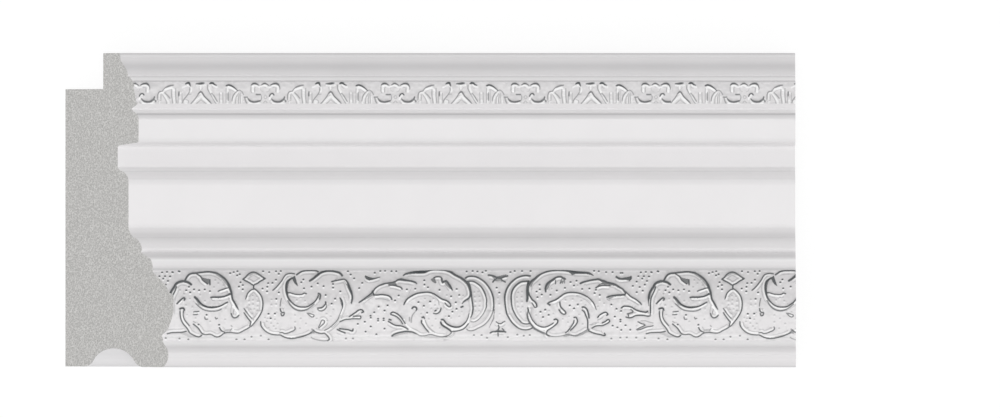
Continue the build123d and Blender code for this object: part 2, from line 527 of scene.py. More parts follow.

# %% [markdown]
# The plain members get painted light as well: painted shade gathers in the creases and fades out
# of them, and some edges get a painted highlight, nearly white. One list says how much painted
# shade there is at each height of the face. A value below zero is a painted highlight.

# %% painted shade and highlight by height
# Painted light by height: above zero is painted shade, below zero a painted highlight.
PAINTED_LIGHT_BY_HEIGHT = """
0,.2 .4,.25 .8,.2 1.2,.1 1.6,.06 2.4,.11 3,.16 3.6,.18 4.2,.13 4.7,.11 5.1,.24 5.4,.04 5.7,-.16
6,-.28 6.25,-.27 6.48,.02 6.62,.4 6.9,.18 7.2,.12 7.6,.12 8,.08 8.4,.03 9,.07 9.8,.1 10.6,.03
11.2,.03 11.45,-.1 11.7,-.2 11.95,-.08 12.3,.01 12.6,-.07 12.95,-.3 13.3,-.28 13.85,-.45 14.05,.15
14.3,.42 14.5,.13 14.8,.08 15.3,.1 15.7,.05 19.2,.05 19.9,.07 20.3,.14 20.6,.06 20.9,-.18 21.3,-.25
21.8,-.1 22.2,.06 23,.09 26,.08 26.4,.05 26.8,-.2 27.3,-.35 27.55,-.5 27.9,-.3 28.4,-.1 29,0
29.4,.1 29.8,.15 30.4,.1 30.9,.04 33,.03 37,.04 39.6,.02 40.3,.07 40.7,.04 41.3,-.03 42.2,.06
42.65,0 43,-.2 43.5,-.17 44.5,-.1 45.1,-.03 45.6,.08 45.95,0 46.5,.03 46.85,.4 47.3,.04 47.6,-.05
47.9,-.45 48.1,-.75 48.5,-.3 49.2,-.2 49.5,.02 49.9,.18 50.3,.46 50.6,.08 50.85,-.03 51.2,-.03
51.8,-.06 52.5,-.02 53.5,-.05 54.3,-.09 55.2,-.02 56,.07 57.5,.08 58.7,.12 59.7,.16 60.4,.1
61.5,.01 63,0 64.6,-.03 65,-.1 65.5,-.19 66,-.38 66.3,-.55 66.6,-.03 66.8,.03 67.1,-.3 67.4,-.4
67.8,-.33 68.1,-.15 68.3,.03 68.6,.09 69.4,.05 69.8,.09 70.2,.14 70.6,.09 71.1,.01 71.5,.04 72,.08
72.6,.1 73,.3
"""


def read_glaze(h):
    """How much painted shade, and how much painted highlight, there is at heights h."""
    pairs = np.array([[float(n) for n in word.split(",")] for word in PAINTED_LIGHT_BY_HEIGHT.split()])
    value = np.interp(h, pairs[:, 0], pairs[:, 1])
    return np.maximum(value, 0), np.maximum(-value, 0)


# Painted shade in the crease over the torus.
print("glaze in the crease over the torus:", round(float(read_glaze(50.4)[0]), 2))

# %% [markdown]
# A bisect cuts the mitre at 45 degrees, as the saw does, and closes the cut. Its threshold is far
# below the spacing of the carving, or points near the cut would be drawn on to it. Every piece
# gets the same three finishes, and each face finds its own by its place and by the way it looks:
# the two sawn ends are foam, what looks to the back, to the groove or into the rebate is bare
# skin, and the rest is coated. The limits are millimetres in the frame. Faces are shaded smooth
# except at edges sharper than 30 degrees, and a sawn end is flat.

# %% helpers for pieces
SMOOTH_ANGLE = 30
SAW_THRESHOLD = 1e-7
FOAM, SKIN = 1, 2
MITRE_SIDE = -84.8
SKIN_LIMIT = 18.8
FOOT_EDGE = -31.9
REBATE_WALL = 9.2


def only(piece):
    """Leave one object selected and active."""
    if bpy.context.object and bpy.context.object.mode != "OBJECT":
        bpy.ops.object.mode_set(mode="OBJECT")
    bpy.ops.object.select_all(action="DESELECT")
    piece.select_set(True)
    bpy.context.view_layer.objects.active = piece


def saw_mitre(piece):
    """Cut the left end on the plane that leans 45 degrees through the depth, and close the cut."""
    only(piece)
    bpy.ops.object.mode_set(mode="EDIT")
    bpy.ops.mesh.select_all(action="SELECT")
    bpy.ops.mesh.bisect(
        plane_co=place(0, 0, 0),
        plane_no=(sqrt(0.5), 0, -sqrt(0.5)),
        use_fill=True,
        clear_inner=True,
        threshold=SAW_THRESHOLD,
    )
    bpy.ops.object.mode_set(mode="OBJECT")


def finish_piece(piece):
    """Smooth shading, materials by the way each face looks, and the piece's place in the part."""
    only(piece)
    bpy.ops.object.mode_set(mode="EDIT")
    bpy.ops.mesh.select_all(action="SELECT")
    bpy.ops.mesh.normals_make_consistent(inside=False)
    bpy.ops.object.mode_set(mode="OBJECT")
    mesh = piece.data
    for material in (coated_face, sawn_foam, extruded_skin):
        mesh.materials.append(material)
    for face in mesh.polygons:
        x, y, z = face.normal
        middle = face.center / MM
        leans_left = x < -0.6 and z > 0.6 and abs(y) < 0.05
        in_rebate = middle.z < REBATE_WALL and y > 0.9
        if x > 0.99 or (leans_left and middle.x - middle.z < MITRE_SIDE):
            face.material_index = FOAM
        elif middle.z < SKIN_LIMIT and (z < -0.5 or middle.y < FOOT_EDGE or in_rebate):
            face.material_index = SKIN
    bpy.ops.object.shade_smooth_by_angle(angle=radians(SMOOTH_ANGLE))
    for face in mesh.polygons:
        if face.material_index == FOAM:
            face.use_smooth = False
    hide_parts("moulding")
    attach(piece, "root")
    shape = bmesh.new()
    shape.from_mesh(mesh)
    open_edges = sum(1 for edge in shape.edges if not edge.is_manifold)
    volume = shape.calc_volume(signed=True) * 1e9
    shape.free()
    mesh.calc_loop_triangles()
    print(piece.name, len(mesh.loop_triangles), "triangles,", open_edges, "open edges")
    print(piece.name, "holds", round(volume), "cubic millimetres")


print("finishes:", [m.name for m in (coated_face, sawn_foam, extruded_skin)])

# %% [markdown]
# The body is the whole moulding but for its two carved bands. The section is drawn as one face at
# the square end and extruded along the length, like the foam leaving the die, a little further
# than needed so that the saw has something to cut. Its points then take the painted shade and the
# painted highlight of their height.

# %% body
SAW_ALLOWANCE = 2.0

only(floor)
bpy.ops.mesh.primitive_circle_add(vertices=len(section), radius=0.01, fill_type="NGON")
body = bpy.context.object
body.name = "moulding_body"
for vertex, (h, d) in zip(body.data.vertices, section):
    vertex.co = place(LENGTH, h, d)
bpy.ops.object.mode_set(mode="EDIT")
bpy.ops.mesh.select_all(action="SELECT")
extruded = {"value": (-(LENGTH + SAW_ALLOWANCE) * MM, 0, 0)}
bpy.ops.mesh.extrude_region_move(TRANSFORM_OT_translate=extruded)
saw_mitre(body)
# Painted light: each point of the body takes the painted shade and painted highlight of its
# height.
heights = np.array([FACE_HEIGHT / 2 - vertex.co.y / MM for vertex in body.data.vertices])
for label, layer in zip(("painted_shade_and_mottle", "painted_highlight"), read_glaze(heights)):
    attribute = body.data.attributes.new(label, "FLOAT", "POINT")
    attribute.data.foreach_set("value", layer)
finish_piece(body)

# %% [markdown]
# The carving is drawn as a modeller would draw it before pressing it: strokes along the edges and
# veins of each leaf. A stroke is a line of points with a width in millimetres. Its kind says how
# the surface moves across it. A ridge rises and falls again. A step rises and then sinks slowly
# away, which makes the cushion of a leaf. A groove is the lower edge of a leaf, which drops into
# a channel. A line is only a thin channel, and a light is a soft rib with a painted highlight.
# Painted shade lies on the side that faces up the picture, and the sign of the width says which
# side of the stroke gets a painted highlight: plus is the right-hand side on the way along it. A
# row of a drawing gives a kind, a width, sometimes a strength, and then points as u,h or, where
# the width changes, as u,h,width. Rows of dots and pebbles are only places, and a pocket is an
# outline.

# %% reading a drawing
def read_drawing(text):
    """Rows of a kind, its numbers and its points. A line that starts with a point goes on."""
    rows = []
    for line in text.strip().splitlines():
        words = line.split()
        if "," not in words[0]:
            rows.append((words.pop(0), [], []))
        for word in words:
            if "," in word:
                rows[-1][2].append([float(n) for n in word.split(",")])
            else:
                rows[-1][1].append(float(word))
    return rows


def with_widths(points, width):
    """Points u,h,width. A width that a point gives holds until another point gives one."""
    full = []
    for u, h, *new_width in points:
        width = new_width[0] if new_width else width
        full.append((u, h, width))
    return np.array(full)


def smooth_line(points, step=0.2):
    """A smooth line through the points of a stroke, divided about every step."""
    if len(points) < 3:
        return points
    ends = np.vstack([2 * points[0] - points[1], points, 2 * points[-1] - points[-2]])
    made = []
    for a, b, c, d in zip(ends[:-3], ends[1:-2], ends[2:-1], ends[3:]):
        count = max(1, int(round(np.hypot(*(c - b)[:2]) / step)))
        for i in range(count):
            t = i / count
            bend = 2 * a - 5 * b + 4 * c - d + t * (3 * (b - c) + d - a)
            made.append(b + 0.5 * t * (c - a + t * bend))
    made.append(points[-1])
    return np.array(made)


test_row = read_drawing("ridge .3 0,0 1,1 2,0")[0]
print("points on a smoothed test stroke:", len(smooth_line(with_widths(test_row[2], 0.3))))

# %% [markdown]
# The band is a grid of places, and the carving is kept on it in layers: cushions of the leaves,
# ridges and hollows for the height, and painted shade, a darker core of painted shade and painted
# highlights for the colour. A stroke changes only the window of the grid that it can reach, and
# where two strokes meet the stronger one stays, so that leaves cross without a seam.

# %% a grid for the carving
REACH = {"ridge": 1.1, "groove": 1.4, "line": 0.7, "light": 0.8, "step": 4.6}


def ease(t):
    """From 0 to 1 without a corner at either end."""
    t = np.clip(t, 0, 1)
    return t * t * (3 - 2 * t)


class Relief:
    """Heights and painted light on a grid of places, u along the rows and h down the columns."""

    def __init__(self, u_line, h_line):
        self.u, self.h = u_line, h_line
        self.du, self.dh = u_line[1] - u_line[0], h_line[1] - h_line[0]
        shape = (len(h_line), len(u_line))
        self.cushion, self.ridge, self.hollow = np.zeros(shape), np.zeros(shape), np.zeros(shape)
        self.glaze, self.ink, self.painted_highlight = np.zeros(shape), np.zeros(shape), np.zeros(shape)

    def window(self, points, reach=0.0):
        """First and last columns and rows of the part of the grid within reach of the points."""
        points = np.array(points)
        (u_low, h_low), (u_high, h_high) = points.min(axis=0)[:2], points.max(axis=0)[:2]
        i0 = max(0, int((u_low - reach - self.u[0]) / self.du))
        i1 = min(len(self.u), int((u_high + reach - self.u[0]) / self.du) + 2)
        j0 = max(0, int((h_low - reach - self.h[0]) / self.dh))
        j1 = min(len(self.h), int((h_high + reach - self.h[0]) / self.dh) + 2)
        return (i0, i1, j0, j1) if i1 > i0 and j1 > j0 else None

    def keep(self, name, area, values, keep_range=None):
        """Raise one layer to the values where they are higher, if wanted only in a range of u."""
        i0, i1, j0, j1 = area
        if keep_range is not None:
            inside = (self.u[i0:i1] >= keep_range[0]) & (self.u[i0:i1] < keep_range[1])
            values = values * inside[None, :]
        layer = getattr(self, name)
        layer[j0:j1, i0:i1] = np.maximum(layer[j0:j1, i0:i1], values)


print("a step fades out over", REACH["step"], "mm")

# %% [markdown]
# Every place near a stroke has to know how far off the stroke is, on which side, how wide it is
# there and how far along that is. This is worked out for one short straight bit of the line
# after another, and each place keeps what the nearest bit says.

# %% places near a stroke
FAR_OFF = 99.0


def around_line(relief, area, line, reach):
    """Distance, signed distance, width and way along for a window, and the line's length."""
    i0, i1, j0, j1 = area
    u, h = relief.u[i0:i1], relief.h[j0:j1]
    near = np.full((len(h), len(u)), FAR_OFF)
    side, wide, along = np.zeros_like(near), np.ones_like(near), np.zeros_like(near)
    travelled = 0.0
    for a, b in zip(line[:-1], line[1:]):
        run_u, run_h = b[0] - a[0], b[1] - a[1]
        length = hypot(run_u, run_h)
        if length < 1e-6:
            continue
        x0 = max(0, int((min(a[0], b[0]) - reach - u[0]) / relief.du))
        x1 = min(len(u), int((max(a[0], b[0]) + reach - u[0]) / relief.du) + 2)
        y0 = max(0, int((min(a[1], b[1]) - reach - h[0]) / relief.dh))
        y1 = min(len(h), int((max(a[1], b[1]) + reach - h[0]) / relief.dh) + 2)
        if x1 > x0 and y1 > y0:
            pu, ph = u[None, x0:x1] - a[0], h[y0:y1, None] - a[1]
            t = np.clip((pu * run_u + ph * run_h) / length**2, 0, 1)
            distance = np.hypot(pu - t * run_u, ph - t * run_h)
            closer = distance < near[y0:y1, x0:x1]
            turned = np.sign(run_u * ph - run_h * pu) * distance
            near[y0:y1, x0:x1][closer] = distance[closer]
            side[y0:y1, x0:x1][closer] = turned[closer]
            wide[y0:y1, x0:x1][closer] = (a[2] + t * (b[2] - a[2]))[closer]
            along[y0:y1, x0:x1][closer] = (travelled + t * length)[closer]
        travelled += length
    return near, side, wide, along, travelled


print("a place with no stroke near it counts as", FAR_OFF, "mm away")

# %% [markdown]
# Each kind of stroke has its own cross-section, built from ease curves so that the press leaves no
# hard corner. Painted shade fills the stroke itself and its upper side, and a second thin line of
# painted shade lies beyond a rim of painted highlight. The ends of a stroke taper off.

# %% pressing a stroke
SOFT_EDGE = 0.08
RIM_AWAY, RIM_HALF = 0.21, 0.13
SHADE_FADE = 0.4
SECOND_AWAY, SECOND_HALF, SECOND_SHADE = 0.66, 0.11, 0.42
STEP_TAPER, STROKE_TAPER = 1.3, 0.4


def cross_section(kind, near, side, wide, strength):
    """The layers of height that a kind of stroke moves, and how far it moves each, in mm."""
    half = wide / 2
    if kind == "ridge":
        rise = (0.1 + 0.75 * wide) * ease((side + half) / wide) * (1 - ease((side - half) / 0.6))
        return {"ridge": rise * min(1, strength + 0.2)}
    if kind == "step":
        rise = (0.26 + 0.4 * wide) * ease((side + half) / wide)
        fall = np.exp(-np.maximum(side - half, 0) / 2.4) * (1 - ease((side - 3) / 1.6))
        return {"cushion": rise * fall}
    if kind == "groove":
        rise = 0.34 * ease((side + 0.05) / 0.55) * (1 - ease((side - 0.5) / 0.9))
        fall = 0.5 * wide * (1 - ease(np.abs(side - 0.06) / (half + 0.1)))
        return {"cushion": rise, "hollow": fall}
    if kind == "line":
        return {"hollow": 0.45 * wide * (1 - ease(near / (half + 0.06))) * strength}
    return {"ridge": 0.16 * (1 - ease(near / (half + 0.15)))}


def press_stroke(relief, kind, width, strength, points, shift=0.0, keep_range=None):
    """Press a stroke, moved along by shift. The sign of its width says which side is highlighted.
    """
    reach = REACH[kind]
    line = smooth_line(with_widths(points, abs(width))) + np.array([shift, 0, 0])
    area = relief.window(line, reach)
    if area is None:
        return
    near, side, wide, along, length = around_line(relief, area, line, reach)
    side = side if width > 0 else -side
    half = wide / 2
    fade = STEP_TAPER if kind == "step" else STROKE_TAPER
    taper = ease(along / fade) * ease((length - along) / fade) if length > 2 * fade else 0.7
    taper = taper * (near < reach)
    for layer, height in cross_section(kind, near, side, wide, strength).items():
        relief.keep(layer, area, height * taper, keep_range)
    # A core of painted shade fills the stroke itself.
    ink = np.clip((half + 0.03 + SOFT_EDGE - near) / (2 * SOFT_EDGE), 0, 1) * strength
    # A light stroke gets only a painted highlight, no painted shade.
    if kind == "light":
        relief.keep("painted_highlight", area, ink * 0.9, keep_range)
        return
    relief.keep("ink", area, ink, keep_range)
    if kind != "line":
        # Painted highlight on the rim beside the stroke; painted shade on its upper side and in a
        # second thin line beyond the rim.
        rim = (RIM_HALF + SOFT_EDGE - np.abs(side - half - RIM_AWAY)) / (2 * SOFT_EDGE)
        shade = np.exp(-np.maximum(-side - half, 0) / SHADE_FADE) * (side < 0)
        shade = shade * (0.13 + 0.5 * wide)
        second = np.exp(-(((side - half - SECOND_AWAY) / SECOND_HALF) ** 2)) * SECOND_SHADE
        shade_amount = np.maximum(shade, second) * strength * taper
        relief.keep("glaze", area, shade_amount, keep_range)
        relief.keep("painted_highlight", area, np.clip(rim, 0, 1) * strength * taper * 0.95, keep_range)


# The rim beside a stroke carries a painted highlight.
print("the clean rim's middle lies", RIM_AWAY, "mm beyond a stroke's edge")

# %% [markdown]
# Between the leaves the ground is strewn with small raised points, and inside the leaves with
# fainter ones, here called pebbles. Each has painted shade above it and a painted highlight below.
# Where two edges of a leaf meet, a sunk wedge between them, a pocket, gets a patch of painted
# shade. A point lies inside a pocket if a line from it crosses the pocket's edges an odd number of
# times.

# %% pressing dots and pockets
DOT_REACH = 0.9
FOOT_DOTS, FOOT_DOT_WEIGHT = 65.4, 0.8
PEBBLE_WEIGHT = 0.33
POCKET_DEPTH = 0.12


def press_dots(relief, places, shift=0.0, strength=1.0):
    """Small raised points: painted shade above, painted highlight below. Those near the foot are
    fainter.
    """
    for u, h in places:
        weight = strength * (FOOT_DOT_WEIGHT if h > FOOT_DOTS else 1)
        area = relief.window([(u + shift, h)], DOT_REACH)
        if area is None:
            continue
        i0, i1, j0, j1 = area
        du, dh = relief.u[None, i0:i1] - u - shift, relief.h[j0:j1, None] - h
        dark = np.hypot(du / 0.2, dh / 0.165)
        highlight = np.hypot(du / 0.24, (dh - 0.36) / 0.18)
        # Painted shade on the upper side of the point, a painted highlight below it.
        relief.keep("ink", area, np.clip(1.5 * (1.6 - dark), 0, 1) * weight)
        relief.keep("painted_highlight", area, np.clip(1.5 - highlight, 0, 1) * weight)
        relief.keep("ridge", area, 0.22 * weight * np.exp(-(du**2 + (dh - 0.14) ** 2) / 0.06))


def press_pocket(relief, corners, shift, strength):
    """A small sunk wedge between two edges, painted with shade, given by its corners."""
    corners = np.array(corners) + np.array([shift, 0])
    area = relief.window(corners)
    if area is None:
        return
    i0, i1, j0, j1 = area
    u, h = np.meshgrid(relief.u[i0:i1], relief.h[j0:j1])
    inside = np.zeros(u.shape, bool)
    for (u0, h0), (u1, h1) in zip(corners, np.roll(corners, -1, axis=0)):
        if h0 != h1:
            inside ^= ((h0 > h) != (h1 > h)) & (u < (u1 - u0) * (h - h0) / (h1 - h0) + u0)
    # The pocket's inside gets painted shade.
    relief.keep("ink", area, inside * strength)
    relief.keep("hollow", area, inside * POCKET_DEPTH)


def press_row(relief, kind, numbers, points, shift):
    """Press one row of a drawing, moved along by shift."""
    if kind == "dots":
        press_dots(relief, points, shift)
    elif kind == "pebbles":
        press_dots(relief, points, shift, PEBBLE_WEIGHT)
    elif kind == "pocket":
        press_pocket(relief, points, shift, min(0.95, 1.6 * numbers[0]))
    else:
        width, strength = (numbers + [1.0])[:2]
        press_stroke(relief, kind, width, strength, points, shift)


print("a pocket is pressed", POCKET_DEPTH, "mm deep")

# %% [markdown]
# A pressed and coated ground is never quite even. Soft random clouds, seeded so that they come out
# the same each time, give it a slight unevenness in height and in colour.

# %% clouds for the ground
def mottle(u, h, size, seed):
    """Soft random clouds, of about a given size in millimetres, from -1 to 1."""
    shape = (int(75 / size) + 2, int(173 / size) + 2)
    chance = np.random.default_rng(seed).uniform(-1, 1, shape)
    column, row = u / size, h / size
    i, j = column.astype(int), row.astype(int)
    across, down = ease(column - i)[None, :], ease(row - j)[:, None]
    upper = chance[j][:, i] * (1 - across) + chance[j][:, i + 1] * across
    lower = chance[j + 1][:, i] * (1 - across) + chance[j + 1][:, i + 1] * across
    return upper * (1 - down) + lower * down


test_clouds = mottle(np.arange(12, 170, 0.5), np.arange(5, 70, 0.5), 1.3, 2)
print("clouds run from", round(test_clouds.min(), 2), "to", round(test_clouds.max(), 2))

# %% [markdown]
# The torus carries acanthus leaves. The roller that pressed them is 111.55 mm round, so the same
# leaves come again after that length. The first leaf has a rolled tip with a small scroll in it,
# and a pendant drop hangs beside it.

# %% first leaf and pendant drop
FIRST_LEAF = """
step -.5 29.45,53.85 28.85,53.4 28.05,53.15 27.25,53.1 26.45,53.35 25.85,53.8 25.55,54.4 25.05,55.1
    24.65,55.9 24.45,56.9 24.4,57.9,.2 24.45,58.8,.1
ridge -.3 26.05,54.4 25.75,55.3 25.35,56.1 25,57 24.85,58 24.85,59 24.85,60 24.85,61,.15
step .4 28,52.9 28.4,52.2 28.9,51.6 29.6,51.3 30.3,51.25 31,51.15,.35 32,51.05 33,50.95 34,50.95
    35,51.15 35.8,51.45 36.6,52,.45 37.3,52.55 37.9,53.3 38.3,54.1,.6 38.6,54.9,.5 38.85,55.7
    39,56.6,.4 39.15,57.3 39.5,57.9 39.95,58.7 40.3,59.3,.3 40.55,59.7,.15
ridge .3 30.7,51.4 31.3,51.75 31.8,52.2 32.1,52.8 32.7,53.3 33.3,53.7
line .3 33.8,52.8 33.85,53.9
ridge -.25 38.4,54.6 37.6,54.75 36.9,55 36.3,55.2 35.8,55.4
ridge -.35 38.6,56.1 38,56.3 37.3,56.6 36.4,56.75 35.4,56.8 34.6,56.8 34.1,56.85
line .2 .4 34.1,57 34.4,57.5 35,57.6
ridge .5 30.35,56.8 30.8,57.2 31.3,57.8 31.9,58.4,.4 32.6,58.85 33.4,59.1 34.3,59.2 35.2,59.15,.3
    36,58.95 36.8,58.6 37.5,58.2 38,57.95,.25
line .22 .85 30.6,58.3 31.5,59.1 32.4,59.7 33.5,60 34.8,60.05 35.8,59.9 36.5,59.55
ridge .34 26.2,58.3 26.8,57.7 27.4,57.15 27.8,56.95 28.05,57.15 27.9,57.5
ridge .4 26.85,59.5 27.3,59.35 27.75,59.4 27.95,59.8
groove -.25 26.9,60 26.95,61 27.15,62 27.65,63 28.25,63.7 28.75,64.4 29.15,65.1 29.95,65.6
    30.75,65.95 31.45,66 31.95,65.6
light .35 27.3,60.1 27.3,61.1 27.55,62.1 28.1,63 28.6,63.6
line .22 27.75,59.9 27.65,61 27.95,62 28.55,62.8 29.05,63.4
ridge -.28 30,63.05 30.6,63.5 31.1,63.95 31.5,64.5 31.9,65.1 32.3,65.4
line .2 .6 30,62.45 30.5,62.7
groove -.22 32.3,65.4 33,65.5 33.8,65.4 34.4,65.6 35,65.95 35.7,66.05 36.4,65.75 36.9,65.35
    37.5,65.1 38.5,65 39.5,65.1 40.3,65.15 41,64.95 41.8,64.5 42.6,64.1 43.2,63.7
ridge -.28 36.05,63.85 36.3,64.3 36.7,64.7 37.3,64.95
line .2 .6 38.8,63.4 39,63.6
line .16 .8 38.95,64.1 38.6,64.5 38.5,64.9
line .14 .6 37.8,64.5 37.9,64.9
light .3 39.2,64.3 39.8,64.7 40.8,64.85
line .26 .9 30.1,60.2 31.3,60.1
line .24 .9 30,60.85 30.6,60.85 31,60.75
light .22 30.4,60.5 31.2,60.45
line .22 .9 32.65,61.4 32.8,61.9 33.3,61.9
line .22 .9 35.1,61.5 35.3,61.85 35.6,61.7
line .16 .5 38.95,58.6 38.75,59.6 38.7,60.5 38.9,61.1
ridge -.3 .95 38.8,60.6 39.1,61.3 39.6,61.6 40.2,61.4 40.6,61
light .45 39.3,59 39.9,59.6 40.4,60.4 40.3,60.9
line .14 .7 39.5,59.6 39.3,60.3 39.35,60.9
groove -.26 23.9,65.3 24.9,65.05 26,65 27.2,64.95 28.3,64.75
step .3 41.5,52.65 42.1,52.2 42.6,51.6 43.3,51.15 44,51 44.7,51.2 45.4,51.65 46.1,52.15 46.7,52.5
groove .3 46.5,52.65 45.6,53.1 44.9,53.6 44.2,53.9 44,54.1
groove -.3 41.6,52.7 42.2,53.05 42.9,53.4 43.6,53.85 44,54.1
line .3 44.05,54.1 44,54.6 44.1,54.9
ridge -.25 44.1,54.9 43.5,55.1 43,55.5 42.6,56 42.35,56.7 42.15,57.3,.12
ridge .28 44.1,54.8 44.7,55.2 45.3,55.8 45.8,56.5 46.1,57.4 46.2,58.3 46.15,59.2 46,60
groove .24 46,60 45.6,60.8 45.1,61.6 44.5,62.4 44,63 43.4,63.6
groove -.22 41.8,59.4 42.2,60 42.6,60.6 43.1,61.2 43.6,61.75
groove -.25 41.8,60.4 42.2,61 42.7,61.7 43.2,62.3 43.4,62.6 43.15,63.5
pocket .5 31.9,52.2 32.6,52.4 33.8,52.6 33.8,53.8 33.2,53.6 32.4,53.1
pocket .45 32.7,50.9 35.4,51 37.2,52.3 38.5,54.7 39.2,57.5 38.8,56.2 38,54.4 36.6,52.6 35,51.5
pocket .5 25,55.2 25.8,53.6 27.3,52.85 29.2,53.8 27.7,53.4 26.3,53.8 25.5,54.9
pocket .4 24.4,57 24.8,55.1 25.5,53.9 26.4,53.5 26,54.4 25.2,55.6 24.8,57.2
pocket .45 30.2,57 31.6,58.2 33.5,59 36.2,58.8 33.5,59.4 31.2,58.6
pocket .5 33.9,56.8 36.2,56.8 38.2,56.2 38.2,56.5 35.8,57.1
pocket .2 26.3,65 27.9,65 29.6,65.8 31.2,66 29.2,66.1 27.3,65.4
pocket .3 37,64.6 37.8,64.4 38.7,64.4 39,64.8 38.2,65.1 37.3,65.1
pocket .4 41.5,52.6 44,50.9 46.7,52.4 44,51.4
dots 28.35,55.2 28.95,54.4 29.25,55.7 30.15,55 31.35,55.2 32.65,55 33.85,55.4 25.15,51.05
    26.7,50.85 24.5,52 38.5,51.25 39.35,51 40.2,50.8 40.15,51.75 40.75,51.5 40.95,53.35 41.5,54
    40.6,54.35 41.5,55 33.1,60.9 26.75,66.4 28.8,66.6 40,66.6 41.9,66.6 43.5,66 45.7,65.75 38.4,56
    31.2,63.15 36,63.2 46.4,52.45
pebbles 26.9,55.1 27.9,56 29.2,57.1 28.3,58.6 31.6,56.2 32.7,57.6 29.8,59 28.5,60.8 35.1,52.8
    35.8,53.5 36.6,52.7 37,54 34.8,54.4 36.2,57.6 37.6,59.4 30.5,61.6 33.9,62.4 37.4,61.9 43,56.6
    43.8,56.4 44.8,56.6 43,57.6 43.9,57.4 45,57.7 43,58.6 43.9,58.4 45,58.8 43.3,59.6 44.2,59.5
    44.9,59.9 43.7,60.6 44.3,61.3
"""
print("rows in the first leaf:", len(read_drawing(FIRST_LEAF)))

# %% [markdown]
# The second leaf is rolled up the other way. Its fold holds a ring, and a long edge sweeps over
# it to a tip on the right. The strokes start at the outer edge and work inwards, as a carver
# does, because the veins end on the edge.

